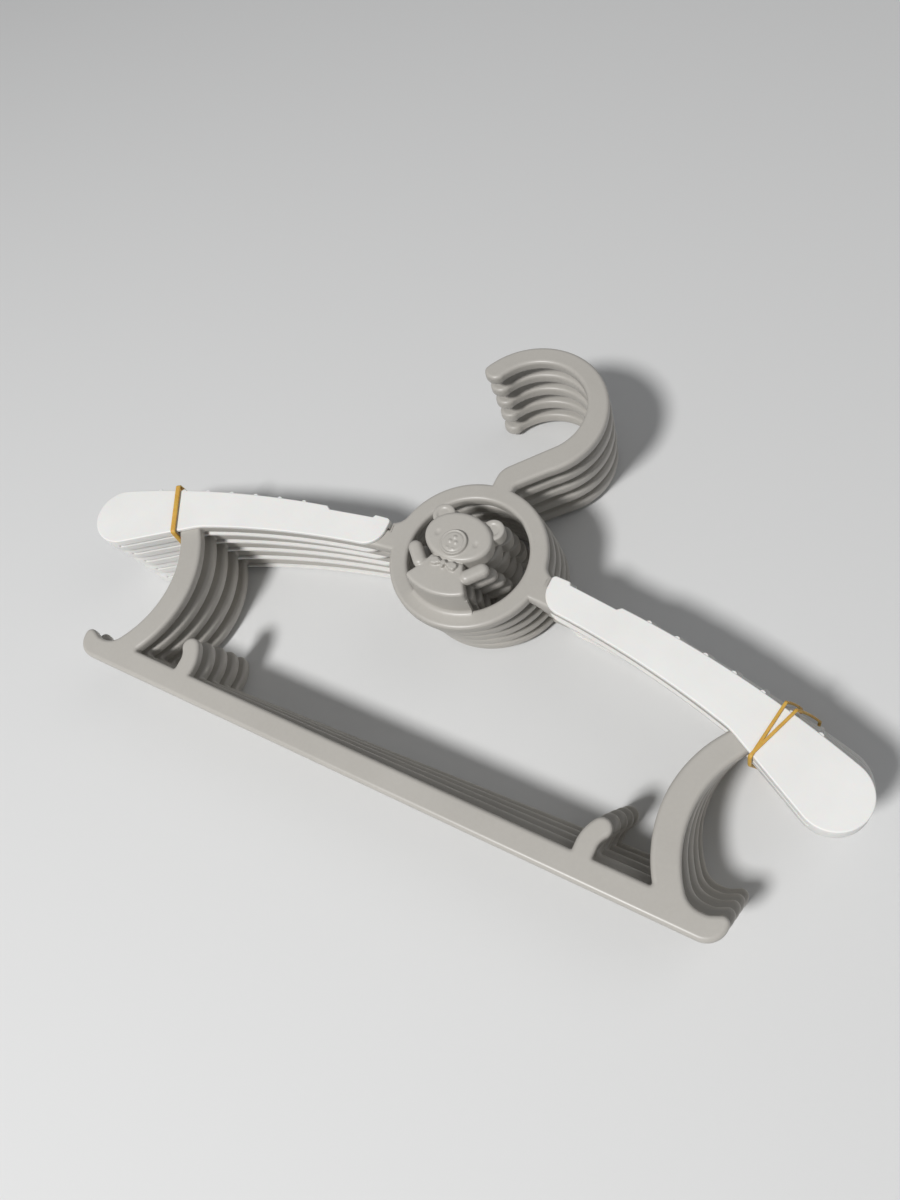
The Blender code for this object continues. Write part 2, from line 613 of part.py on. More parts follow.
def sleeve_hollow_corners():
    """Channel for the arm. It is open at the inner end and below, up to the brace."""
    roof = SHOULDER_RADIUS - SLEEVE_TOP_WALL
    first = on_arm(bearing_at(arm_stub_end - OVERRUN, roof), roof)
    knee_radius = SHOULDER_RADIUS - SLEEVE_BRACE_WIDTH
    knee = on_arm(bearing_at(paddle_knee_x, knee_radius), knee_radius)
    centre = paddle_centre()
    gate_radius = BRACE_OUTER_RADIUS - 2 * SLIDE_CLEARANCE
    lower_angle = math.radians(paddle_lower_angle(knee))
    outward = Vector((math.cos(lower_angle), math.sin(lower_angle)))
    along = Vector((-outward.y, outward.x))
    rim_end = centre + outward * (PADDLE_RADIUS - SLEEVE_RIM_WALL)
    reach = (knee - centre).dot(along)
    rim_knee = rim_end + along * reach
    gate_top = line_to_circle(rim_end, rim_knee, brace_outer_centre, gate_radius)
    drop = outward * OVERRUN
    gate_low = line_to_circle(rim_end + drop, rim_knee + drop, brace_outer_centre, gate_radius)
    below = SHOULDER_RADIUS - SLEEVE_BRACE_WIDTH - OVERRUN
    hollow_round = PADDLE_RADIUS - SLEEVE_TOP_WALL
    end_angle = 90.0 - math.degrees(paddle_bearing)
    corners = arm_curve(first.x, on_arm(paddle_bearing, roof).x, roof, roof, 7)[:-1]
    corners += arc(centre, hollow_round, end_angle, math.degrees(lower_angle), 5)
    corners.append((gate_top.x, gate_top.y, 0.0))
    corners.append((gate_low.x, gate_low.y, 0.0))
    corners += arm_curve(paddle_knee_x - OVERRUN, arm_stub_end - OVERRUN, below, below, 4)
    return corners


def line_to_circle(start, end, centre, radius):
    """First place on the way from start to end that lies on a circle."""
    way = end - start
    offset = start - centre
    a = way.length_squared
    b = 2 * offset.dot(way)
    c = offset.length_squared - radius ** 2
    share = (-b + math.sqrt(b * b - 4 * a * c)) / (2 * a)
    return start + way * share


def paddle_slot_corners():
    """Narrow seam through the paddle's lower rim."""
    knee_radius = SHOULDER_RADIUS - SLEEVE_BRACE_WIDTH
    knee = on_arm(bearing_at(paddle_knee_x, knee_radius), knee_radius)
    lower_angle = math.radians(paddle_lower_angle(knee))
    outward = Vector((math.cos(lower_angle), math.sin(lower_angle)))
    centre = paddle_centre()
    end_out = centre + outward * (PADDLE_RADIUS + OVERRUN)
    end_in = centre + outward * (PADDLE_RADIUS - SLEEVE_RIM_WALL - SLEEVE_PLATE)
    end_out.x = paddle_centre_x - PADDLE_SLOT_SETBACK
    knee_out = knee + outward * OVERRUN
    knee_in = knee - outward * (SLEEVE_RIM_WALL + SLEEVE_PLATE)
    return [(place.x, place.y, 0.0) for place in (end_in, end_out, knee_out, knee_in)]


def ridge_places():
    """Centres of the small ridges along the shoulder."""
    orbit = SHOULDER_RADIUS + RIDGE_HEIGHT - RIDGE_RADIUS
    first = bearing_at(notch_end_x + RIDGE_SETBACK, SHOULDER_RADIUS)
    return [on_arm(first + index * RIDGE_PITCH / SHOULDER_RADIUS, orbit) for index in range(RIDGE_COUNT)]


def shoulder_sleeve(side):
    """Sleeve for the right (1) or left (-1) arm."""

    def sided(corners):
        return [(side * place.x, place.y) for place in rounded(corners)]

    hollow_low = -PLATE_THICKNESS - SLIDE_CLEARANCE
    middle = -PLATE_THICKNESS / 2
    sleeve = outline_solid("sleeve", [sided(sleeve_corners())], sleeve_back, sleeve_front)
    hollow = outline_solid("hollow", [sided(sleeve_hollow_corners())], hollow_low, SLIDE_CLEARANCE)
    combine(sleeve, hollow, "DIFFERENCE")
    slot_low = middle - PADDLE_SLOT / 2
    slot = outline_solid("slot", [sided(paddle_slot_corners())], slot_low, slot_low + PADDLE_SLOT)
    combine(sleeve, slot, "DIFFERENCE")
    for place in ridge_places():
        centre = (side * place.x, place.y)
        ridge_low = sleeve_back + RIDGE_INSET
        ridge = round_solid("ridge", centre, RIDGE_RADIUS, ridge_low, sleeve_front - RIDGE_INSET, 6)
        combine(sleeve, ridge, "UNION")
    merge_flat_faces(sleeve)
    return sleeve


def hanger_places():
    """Place of each hanger on the one below it, from the bottom of the bundle up."""
    step = Matrix.Translation((STACK_SIDE_STEP, -stack_back_step, stack_pitch))
    step = step @ Matrix.Rotation(STACK_TILT, 4, "X") @ Matrix.Rotation(STACK_TWIST, 4, "Z")
    place = Matrix.Translation((0.0, 0.0, -sleeve_back))
    places = []
    for index in range(HANGER_COUNT):
        places.append(place.copy())
        place = place @ step
    return places


def sleeve_edge_rings(side):
    """Outline of a sleeve over its ridges, on both of its faces, as loops in space."""
    lifted = []
    for place in rounded(sleeve_corners()):
        away = place - shoulder_centre
        on_shoulder = abs(away.length - SHOULDER_RADIUS) < RIDGE_HEIGHT
        lift = RIDGE_HEIGHT if on_shoulder else 0.0
        lifted.append(place + away.normalized() * lift)
    rings = []
    for height in (sleeve_back, sleeve_front):
        rings.append([Vector((side * place.x, place.y, height)) for place in lifted])
    return rings


def plane_crossings(ring, origin, normal):
    """Places where a loop in space crosses a plane."""
    crossings = []
    for index, place in enumerate(ring):
        before = ring[index - 1]
        first = (before - origin).dot(normal)
        second = (place - origin).dot(normal)
        if first * second < 0.0:
            crossings.append(before.lerp(place, first / (first - second)))
    return crossings


def taut_loop(places, spare):
    """Loop stretched round places on a plane, at a distance from them."""
    ringed = []
    for place in places:
        for x, y, radius in arc(place, spare, 0.0, 315.0, 7):
            ringed.append(Vector((x, y)))
    ringed.sort(key=lambda place: (place.x, place.y))
    halves = []
    for ordered in (ringed, list(reversed(ringed))):
        half = []
        for place in ordered:
            while len(half) > 1 and turns_right(half[-2], half[-1], place):
                half.pop()
            half.append(place)
        halves += half[:-1]
    return halves


def turns_right(first, second, third):
    one = second - first
    other = third - second
    return one.x * other.y - one.y * other.x <= WELD_DISTANCE ** 2


def shoulder_edge_place(side, x, radius):
    place = on_arm(bearing_at(x, radius), radius)
    return Vector((side * place.x, place.y, sleeve_front))


def band_turn(places, side, reach, lean, width):
    """One turn of a rubber band round all the sleeves on one side, past the brace."""
    top = places[-1]
    foot_x = brace_outer_x + reach
    head = top @ shoulder_edge_place(side, foot_x + lean, SHOULDER_RADIUS)
    foot = top @ shoulder_edge_place(side, foot_x, SHOULDER_RADIUS - SLEEVE_BRACE_WIDTH)
    across = head - foot
    across.z = 0.0
    across.normalize()
    up = Vector((0.0, 0.0, 1.0))
    normal = across.cross(up)
    inner_places = []
    for place in places:
        for ring in sleeve_edge_rings(side):
            placed = [place @ point for point in ring]
            for shift in (-width / 2, 0.0, width / 2):
                for crossing in plane_crossings(placed, foot + normal * shift, normal):
                    inner_places.append(Vector(((crossing - foot).dot(across), crossing.z - foot.z)))
    inner = taut_loop(inner_places, BAND_CLEARANCE)
    outer = taut_loop(inner_places, BAND_CLEARANCE + BAND_THICKNESS)
    turn = outline_solid("band", [outer, inner], -width / 2, width / 2)
    frame = Matrix((across, up, normal)).transposed().to_4x4()
    turn.data.transform(Matrix.Translation(foot) @ frame)
    return turn


def plastic(name, colour, roughness):
    material = bpy.data.materials.new(name)
    material.use_nodes = True
    shader = material.node_tree.nodes["Principled BSDF"]
    shader.inputs["Base Color"].default_value = (*colour, 1.0)
    shader.inputs["Roughness"].default_value = roughness
    shader.inputs["Metallic"].default_value = 0.0
    return material


def new_node(name, mesh, material, carrier):
    node = bpy.data.objects.new(name, mesh)
    bundle.objects.link(node)
    node.parent = carrier
    if not mesh.materials:
        mesh.materials.append(material)
    return node


def new_carrier(name, parent, place):
    carrier = bpy.data.objects.new(name, None)
    bundle.objects.link(carrier)
    carrier.parent = parent
    carrier.matrix_local = place
    return carrier


def sleeve_pivot(side):
    """The sleeve's joint axis, at the centre of the arc that its arm follows."""
    return Vector((side * SHOULDER_CENTRE_X, shoulder_centre.y, 0.0))


for item in list(bpy.data.objects):
    bpy.data.objects.remove(item)

bundle = bpy.data.collections.new("childrens_clothes_hangers")
workbench = bpy.data.collections.new("workbench")
bpy.context.scene.collection.children.link(bundle)
bpy.context.scene.collection.children.link(workbench)

grey = plastic("warm_grey_plastic", (0.43, 0.41, 0.375), 0.42)
white = plastic("white_plastic", (0.79, 0.78, 0.755), 0.5)
amber = plastic("amber_rubber", (0.62, 0.36, 0.06), 0.6)

places = hanger_places()
base = new_carrier("base", None, Matrix.Identity(4))

moulding = hanger_moulding()
sleeves = {side: shoulder_sleeve(side) for side in (-1, 1)}
for side, sleeve in sleeves.items():
    sleeve.data.transform(Matrix.Translation(-sleeve_pivot(side)))

for index, place in enumerate(places):
    hanger = new_carrier(f"hanger_{index + 1}", base, place)
    new_node(f"hanger_{index + 1}_frame", moulding.data, grey, hanger)
    for side, label in ((-1, "left"), (1, "right")):
        sleeve = new_node(f"hanger_{index + 1}_{label}_sleeve", sleeves[side].data, white, hanger)
        sleeve.location = sleeve_pivot(side)

left_band = band_turn(places, -1, LEFT_BAND_REACH, LEFT_BAND_LEAN, LEFT_BAND_WIDTH)
right_band = band_turn(places, 1, RIGHT_BAND_REACH, RIGHT_BAND_NEAR_LEAN, RIGHT_BAND_WIDTH)
far_turn = band_turn(places, 1, RIGHT_BAND_REACH, RIGHT_BAND_FAR_LEAN, RIGHT_BAND_WIDTH)
combine(right_band, far_turn, "UNION")
merge_flat_faces(right_band)
new_node("left_rubber_band", left_band.data, amber, base)
new_node("right_rubber_band", right_band.data, amber, base)

for item in list(workbench.objects):
    bpy.data.objects.remove(item)
bpy.data.collections.remove(workbench)

# The bundle stands on z = 0 with the middle of its box over the origin
bpy.context.view_layer.update()
corners = []
for node in bundle.objects:
    if node.type == "MESH":
        corners += [node.matrix_world @ vertex.co for vertex in node.data.vertices]
base.location.x = -(min(place.x for place in corners) + max(place.x for place in corners)) / 2
base.location.y = -(min(place.y for place in corners) + max(place.y for place in corners)) / 2
base.location.z = -min(place.z for place in corners)
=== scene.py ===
"""Five adjustable children's clothes hangers lying in a bundle, tied with two rubber bands.

Each hanger is a satin grey moulding with a small bear standing in its ring, and two
white sleeves that slide out along the arms. A hanger is drawn in its own frame, with
the origin at the centre of the ring on the front face and Y towards the hook, and is
then laid on its place in the bundle.
"""
import json
import math

import bmesh
import bpy
from mathutils import Matrix, Vector


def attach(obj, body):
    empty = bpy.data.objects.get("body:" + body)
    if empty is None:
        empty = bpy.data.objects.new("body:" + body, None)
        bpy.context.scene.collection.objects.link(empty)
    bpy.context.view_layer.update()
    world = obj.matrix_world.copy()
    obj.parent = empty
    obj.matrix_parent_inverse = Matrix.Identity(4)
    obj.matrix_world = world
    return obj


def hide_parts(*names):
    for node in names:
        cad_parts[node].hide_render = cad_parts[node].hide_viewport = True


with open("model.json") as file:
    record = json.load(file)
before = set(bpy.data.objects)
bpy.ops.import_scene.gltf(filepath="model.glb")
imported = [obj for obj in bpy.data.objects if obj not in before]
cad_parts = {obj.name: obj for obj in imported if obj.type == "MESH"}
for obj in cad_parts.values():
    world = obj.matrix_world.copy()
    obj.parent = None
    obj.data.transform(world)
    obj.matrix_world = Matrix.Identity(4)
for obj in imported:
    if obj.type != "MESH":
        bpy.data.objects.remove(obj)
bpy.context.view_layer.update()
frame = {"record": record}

MM = 0.001

# The bundle
HANGER_COUNT = 5
STACK_GAP = 0.3 * MM
STACK_TILT = math.radians(1.5)

# The grey moulding
PLATE_THICKNESS = 4.6 * MM
PLATE_ROUND = 1.35 * MM
RIM_FLAT = 0.12 * MM
RING_RADIUS = 28.3 * MM
RING_WIDTH = 6.7 * MM

# The hook and its neck
HOOK_RADIUS = 28.0 * MM
HOOK_SIDE = -3.7 * MM
HOOK_RISE = 61.6 * MM
HOOK_BORE_RADIUS = 19.6 * MM
HOOK_BORE_LIFT = 1.3 * MM
HOOK_TIP_REACH = 3.6 * MM
HOOK_INNER_TIP_ANGLE = 150.0
HOOK_OUTER_TIP_ANGLE = 153.5
NECK_WIDTH = 7.9 * MM
NECK_INNER_HEIGHT = 6.4 * MM
NECK_INNER_ROUND = 8.0 * MM
NECK_OUTER_HEIGHT = 2.0 * MM
NECK_OUTER_ROUND = 4.5 * MM

# The arms, which follow a wide arc under the shoulder
SHOULDER_RADIUS = 355.2 * MM
SHOULDER_CENTRE_X = 8.5 * MM
SHOULDER_RISE = 2.7 * MM
ARM_STUB_LENGTH = 3.3 * MM
ARM_END_SETBACK = 11.4 * MM
ARM_ROOT_SETBACK = 1.4 * MM
ARM_BRACE_SETBACK = 0.4 * MM
ARM_TIP_TAPER = 2.6 * MM
ARM_TIP_ROUND = 3.0 * MM
ARM_FILLET = 6.0 * MM
ARM_UNDER_FILLET = 2.0 * MM

# The braces and the trouser bar
BRACE_INNER_X = 92.1 * MM
BRACE_WIDTH = 9.1 * MM
BRACE_CENTRE_DROP = 4.1 * MM
BRACE_INNER_RADIUS = 44.0 * MM
BRACE_OUTER_RADIUS = 38.0 * MM
BRACE_FOOT_ROUND = 2.0 * MM
BAR_TOP = -77.3 * MM
BAR_WIDTH = 8.6 * MM
BAR_HOLLOW_LENGTH = 2.2 * MM
BAR_TIP_LENGTH = 6.4 * MM
BAR_HOLLOW_DROP = 0.9 * MM
BAR_HOLLOW_ROUND = 7.0 * MM
BAR_TIP_LIFT = 0.8 * MM
BAR_TIP_ROUND = 2.2 * MM
BAR_CORNER_ROUND = 7.0 * MM

# The notch fingers on the bar
FINGER_BASE_X = 76.8 * MM
FINGER_WIDTH = 6.7 * MM
FINGER_LEAN = 2.3 * MM
FINGER_HEAD_RADIUS = 3.3 * MM
FINGER_HEIGHT = 12.7 * MM
FINGER_BACK_ROUND = 14.9 * MM
FINGER_NOTCH_ROUND = 6.0 * MM
FINGER_FOOT_ROUND = 0.5 * MM

# The sliding shoulder sleeves
SLEEVE_PLATE = 1.2 * MM
SLEEVE_TOP_WALL = 2.6 * MM
SLEEVE_RIM_WALL = 1.8 * MM
SLEEVE_ROUND = 0.42 * MM
SLIDE_CLEARANCE = 0.3 * MM
SLEEVE_ROOT_WIDTH = 11.6 * MM
SLEEVE_BRACE_WIDTH = 15.2 * MM
SLEEVE_INNER_ROUND = 8.0 * MM
SLEEVE_TRAVEL = 38.0 * MM
SLEEVE_LIP_HEIGHT = 0.5 * MM
SLEEVE_LIP_LENGTH = 6.4 * MM
NOTCH_START_DEPTH = 0.6 * MM
NOTCH_END_DEPTH = 1.3 * MM
NOTCH_LENGTH = 18.1 * MM
PADDLE_RADIUS = 11.2 * MM
PADDLE_REACH = 34.1 * MM
PADDLE_KNEE_REACH = 1.1 * MM
PADDLE_KNEE_ROUND = 24.0 * MM
PADDLE_SLOT = 1.2 * MM
PADDLE_SLOT_SETBACK = 2.4 * MM
RIDGE_COUNT = 7
RIDGE_SETBACK = 11.2 * MM
RIDGE_PITCH = 10.2 * MM
RIDGE_RADIUS = 1.1 * MM
RIDGE_HEIGHT = 0.7 * MM
RIDGE_INSET = 0.25 * MM
RIDGE_ROUND = 0.3 * MM

# The bear and its curved pedestal
BEAR_LIFT = 6.7 * MM
PEDESTAL_SEAT = 0.6 * MM
PEDESTAL_WALL = 1.9 * MM
PEDESTAL_FILLET = 1.7 * MM
PEDESTAL_HALF_ANGLE = 31.0
PEDESTAL_TOP_OVERLAP = 1.1 * MM
PEDESTAL_ROOT_DEPTH = 0.8 * MM
PEDESTAL_FOOT_SETBACK = 1.1 * MM
PEDESTAL_FOOT_REACH = 1.0 * MM
HEAD_HALF_WIDTH = 12.1 * MM
HEAD_HALF_HEIGHT = 9.15 * MM
HEAD_CENTRE_Y = -0.5 * MM
HEAD_RELIEF = 2.1 * MM
HEAD_ROUND = 1.5 * MM
HEAD_UNDER_ROUND = 1.2 * MM
EAR_RADIUS = 4.0 * MM
EAR_X = 9.4 * MM
EAR_Y = 6.4 * MM
EAR_RELIEF = 3.9 * MM
EAR_ROUND = 0.6 * MM
EAR_UNDER_ROUND = 0.8 * MM
EAR_DISH = 0.4 * MM
SNOUT_RADIUS = 4.7 * MM
SNOUT_Y = -3.4 * MM
SNOUT_RELIEF = 0.75 * MM
SNOUT_ROUND = 0.6 * MM
SNOUT_GROOVE_SHARE = 0.8
SNOUT_GROOVE_DEPTH = 0.28 * MM
SNOUT_GROOVE_HALF_WIDTH = 0.55 * MM
NOSE_SPREAD = 1.2 * MM
NOSE_LIFT = 0.4 * MM
NOSE_DOT_RADIUS = 0.95 * MM
NOSE_DOT_HEIGHT = 0.5 * MM
MOUTH_X = 1.0 * MM
MOUTH_DROP = 2.6 * MM
MOUTH_FLATNESS = 1.6
MOUTH_RADIUS = 0.85 * MM
MOUTH_HEIGHT = 0.22 * MM
EYE_X = 7.2 * MM
EYE_Y = -1.5 * MM
EYE_HALF_WIDTH = 1.3 * MM
EYE_HALF_HEIGHT = 1.7 * MM
EYE_DEPTH = 0.38 * MM
FACE_DEPTH = 0.6 * MM
FACE_STEEPNESS = 0.6
BODY_NECK_X = 6.0 * MM
BODY_NECK_Y = -9.0 * MM
BODY_WAIST_X = 8.0 * MM
BODY_WAIST_Y = -13.6 * MM
BODY_HEM_ANGLE = 31.4
BODY_HEM_TURN = 8.0
BODY_HEM_ROUND = 1.4 * MM
BODY_WAIST_ROUND = 3.0 * MM
BODY_RELIEF = 2.8 * MM
BODY_ROUND = 1.1 * MM
BODY_UNDER_ROUND = 0.8 * MM
PAW_RADIUS = 2.4 * MM
PAW_TIP = (12.7 * MM, -8.6 * MM)
PAW_ROOT = (8.9 * MM, -12.6 * MM)
PAW_RELIEF = 2.0 * MM
PAW_THICKNESS = 4.6 * MM
PAW_ROUND = 1.9 * MM
BOW_Y = -11.4 * MM
BOW_RELIEF = 1.2 * MM
BOW_ROUND = 0.5 * MM
KNOT_RISE = 0.2 * MM
KNOT_ROUND = 0.45 * MM
RELIEF_ROOT = 1.0 * MM
BOW_SCALLOPS = (
    (2.0 * MM, 0.05 * MM, 0.85 * MM),
    (2.95 * MM, 0.55 * MM, 0.95 * MM),
    (3.0 * MM, -0.5 * MM, 0.9 * MM),
    (4.0 * MM, 0.3 * MM, 0.95 * MM),
    (3.8 * MM, -0.7 * MM, 0.8 * MM),
)
KNOT_DOTS = ((0.15 * MM, 0.95 * MM), (-1.0 * MM, 0.6 * MM))
BEAR_GRAIN = 0.25 * MM

# The rubber bands
LEFT_BAND_WIDTH = 1.8 * MM
RIGHT_BAND_WIDTH = 1.0 * MM
BAND_THICKNESS = 0.85 * MM
BAND_ROUND = 0.26 * MM
BAND_CLEARANCE = 0.3 * MM
LEFT_BAND_REACH = 10.8 * MM
LEFT_BAND_LEAN = 7.1 * MM
RIGHT_BAND_NEAR_REACH = 10.33 * MM
RIGHT_BAND_NEAR_LEAN = 2.87 * MM
RIGHT_BAND_FAR_REACH = 10.67 * MM
RIGHT_BAND_FAR_LEAN = 5.83 * MM

# Floor, light and view
FLOOR_HALF_WIDTH = 4.0
FLOOR_COLOUR = (0.69, 0.69, 0.685, 1.0)
LAMP_TARGET = (0.0, 0.0, 0.02)
KEY_PLACE = (-0.14, -1.02, 1.34)
KEY_WIDTH = 0.24
KEY_POWER = 24.5
FILL_PLACE = (0.9, 0.5, 1.4)
FILL_WIDTH = 1.2
FILL_POWER = 3.0
ROOM_COLOUR = (0.95, 0.97, 1.0, 1.0)
ROOM_STRENGTH = 0.19
VIEW_SENSOR = 36.0
VIEW_LENS = 39.628
VIEW_PLACE = (129.244 * MM, -114.522 * MM, 295.888 * MM)
VIEW_RIGHT = (0.868249, 0.440076, -0.229077)
VIEW_DOWN = (0.321649, -0.850853, -0.415441)
VIEW_AHEAD = (-0.377737, 0.287024, -0.880302)

# Worked out from the sizes above
OVERRUN = 5.0 * MM
shoulder_centre = Vector((SHOULDER_CENTRE_X, SHOULDER_RISE - SHOULDER_RADIUS))
sleeve_front = SLIDE_CLEARANCE + SLEEVE_PLATE
sleeve_back = -PLATE_THICKNESS - SLIDE_CLEARANCE - SLEEVE_PLATE
arm_top_radius = SHOULDER_RADIUS - SLEEVE_TOP_WALL - SLIDE_CLEARANCE
arm_root_radius = SHOULDER_RADIUS - SLEEVE_ROOT_WIDTH + ARM_ROOT_SETBACK
arm_brace_radius = SHOULDER_RADIUS - SLEEVE_BRACE_WIDTH + ARM_BRACE_SETBACK
arm_tip_radius = arm_brace_radius + ARM_TIP_TAPER
arm_stub_end = RING_RADIUS + ARM_STUB_LENGTH
lip_end_x = arm_stub_end + SLIDE_CLEARANCE + SLEEVE_LIP_LENGTH
notch_end_x = lip_end_x + NOTCH_LENGTH
brace_outer_x = BRACE_INNER_X + BRACE_WIDTH
paddle_centre_x = brace_outer_x + PADDLE_REACH
paddle_knee_x = brace_outer_x + PADDLE_KNEE_REACH
arm_end = paddle_centre_x - ARM_END_SETBACK
arm_low_y = shoulder_centre.y + math.sqrt(arm_brace_radius ** 2 - (BRACE_INNER_X - SHOULDER_CENTRE_X) ** 2)
brace_centre_y = (BAR_TOP + arm_low_y) / 2 - BRACE_CENTRE_DROP
brace_inner_centre = Vector((BRACE_INNER_X + BRACE_INNER_RADIUS, brace_centre_y))
brace_outer_centre = Vector((brace_outer_x + BRACE_OUTER_RADIUS, brace_centre_y))
bar_bottom = BAR_TOP - BAR_WIDTH
finger_head_x = FINGER_BASE_X + FINGER_LEAN
pedestal_radius = RING_RADIUS - RING_WIDTH + PEDESTAL_SEAT
paddle_orbit = SHOULDER_RADIUS - PADDLE_RADIUS
paddle_bearing = math.asin((paddle_centre_x - SHOULDER_CENTRE_X) / paddle_orbit)
lowest_paddle_y = (
    shoulder_centre.y
    + paddle_orbit * math.cos(paddle_bearing + SLEEVE_TRAVEL / SHOULDER_RADIUS)
    - PADDLE_RADIUS
)
stack_pitch = sleeve_front - sleeve_back + STACK_GAP - math.sin(STACK_TILT) * lowest_paddle_y
nose_top = BEAR_LIFT + stack_pitch - STACK_GAP


# Outlines

def arc(centre, radius, first, last, steps):
    """Places on a circle between two angles in degrees, both ends included."""
    places = []
    for step in range(steps + 1):
        angle = math.radians(first + (last - first) * step / steps)
        places.append((centre[0] + radius * math.cos(angle), centre[1] + radius * math.sin(angle), 0.0))
    return places


def bearing_at(x, radius):
    return math.asin((x - SHOULDER_CENTRE_X) / radius)


def on_arm(bearing, radius):
    return shoulder_centre + radius * Vector((math.sin(bearing), math.cos(bearing)))


def arm_curve(first_x, last_x, first_radius, last_radius, steps):
    """Places along the arm whose distance from the shoulder centre changes evenly."""
    places = []
    first = bearing_at(first_x, first_radius)
    last = bearing_at(last_x, last_radius)
    for step in range(steps + 1):
        share = step / steps
        place = on_arm(first + (last - first) * share, first_radius + (last_radius - first_radius) * share)
        places.append((place.x, place.y, 0.0))
    return places


def circle_crossing(first_centre, first_radius, second_centre, second_radius, side):
    line = Vector(second_centre) - Vector(first_centre)
    along = (line.length_squared + first_radius ** 2 - second_radius ** 2) / (2 * line.length)
    across = math.sqrt(first_radius ** 2 - along ** 2)
    unit = line.normalized()
    return Vector(first_centre) + unit * along + side * across * Vector((-unit.y, unit.x))


def line_to_circle(start, end, centre, radius):
    way = end - start
    offset = start - centre
    a = way.length_squared
    b = 2 * offset.dot(way)
    c = offset.length_squared - radius ** 2
    share = (-b + math.sqrt(b * b - 4 * a * c)) / (2 * a)
    return start + way * share


def angle_of(centre, place):
    return math.degrees(math.atan2(place[1] - centre[1], place[0] - centre[0]))


def rounded(corners, steps=6):
    """Closed loop of places from corners, each of them x, y and the radius of its rounding."""
    loop = []
    for index, (x, y, radius) in enumerate(corners):
        corner = Vector((x, y))
        if radius == 0.0:
            loop.append(corner)
            continue
        before = Vector(corners[index - 1][:2]) - corner
        after = Vector(corners[(index + 1) % len(corners)][:2]) - corner
        half_angle = before.angle(after) / 2
        room = 0.48 * min(before.length, after.length)
        trim = min(radius / math.tan(half_angle), room)
        true_radius = trim * math.tan(half_angle)
        inward = (before.normalized() + after.normalized()).normalized()
        centre = corner + inward * true_radius / math.sin(half_angle)
        start = corner + before.normalized() * trim - centre
        end = corner + after.normalized() * trim - centre
        sweep = start.angle_signed(end)
        for step in range(steps + 1):
            turned = start.copy()
            turned.rotate(Matrix.Rotation(-sweep * step / steps, 2))
            loop.append(centre + turned)
    return loop


def mirrored(corners):
    return [(-x, y, radius) for x, y, radius in reversed(corners)]


def hook_tip(inner_end, outer_end):
    """Half ellipse that closes the hook between the ends of its two edges."""
    middle = (inner_end + outer_end) / 2
    across = inner_end - middle
    onward = Vector((across.y, -across.x)).normalized() * HOOK_TIP_REACH
    tip = []
    for x, y, radius in arc((0.0, 0.0), 1.0, 0.0, 180.0, 16)[1:-1]:
        place = middle + across * x + onward * y
        tip.append((place.x, place.y, 0.0))
    return tip


def hook_corners():
    """Neck and hook, from the ring's left of the neck round to its right."""
    half_neck = NECK_WIDTH / 2
    ring_y = math.sqrt(RING_RADIUS ** 2 - half_neck ** 2)
    bore_centre = (HOOK_SIDE, HOOK_RISE + HOOK_BORE_LIFT)
    inner = arc(bore_centre, HOOK_BORE_RADIUS, -38.0, HOOK_INNER_TIP_ANGLE, 40)
    outer = arc((HOOK_SIDE, HOOK_RISE), HOOK_RADIUS, HOOK_OUTER_TIP_ANGLE, -54.0, 46)
    tip = hook_tip(Vector(inner[-1][:2]), Vector(outer[0][:2]))
    left_neck = [(-half_neck, ring_y, 0.0), (-half_neck, RING_RADIUS + NECK_INNER_HEIGHT, NECK_INNER_ROUND)]
    right_neck = [(half_neck, RING_RADIUS + NECK_OUTER_HEIGHT, NECK_OUTER_ROUND), (half_neck, ring_y, 0.0)]
    return left_neck + inner + tip + outer + right_neck


def bar_hollow_centre():
    """Centre of the round that leads from the brace's outer edge into the hollow on the bar."""
    centre_y = BAR_TOP - BAR_HOLLOW_DROP + BAR_HOLLOW_ROUND
    inner_radius = BRACE_OUTER_RADIUS - BAR_HOLLOW_ROUND
    aside = math.sqrt(inner_radius ** 2 - (centre_y - brace_centre_y) ** 2)
    return Vector((brace_outer_centre.x - aside, centre_y))


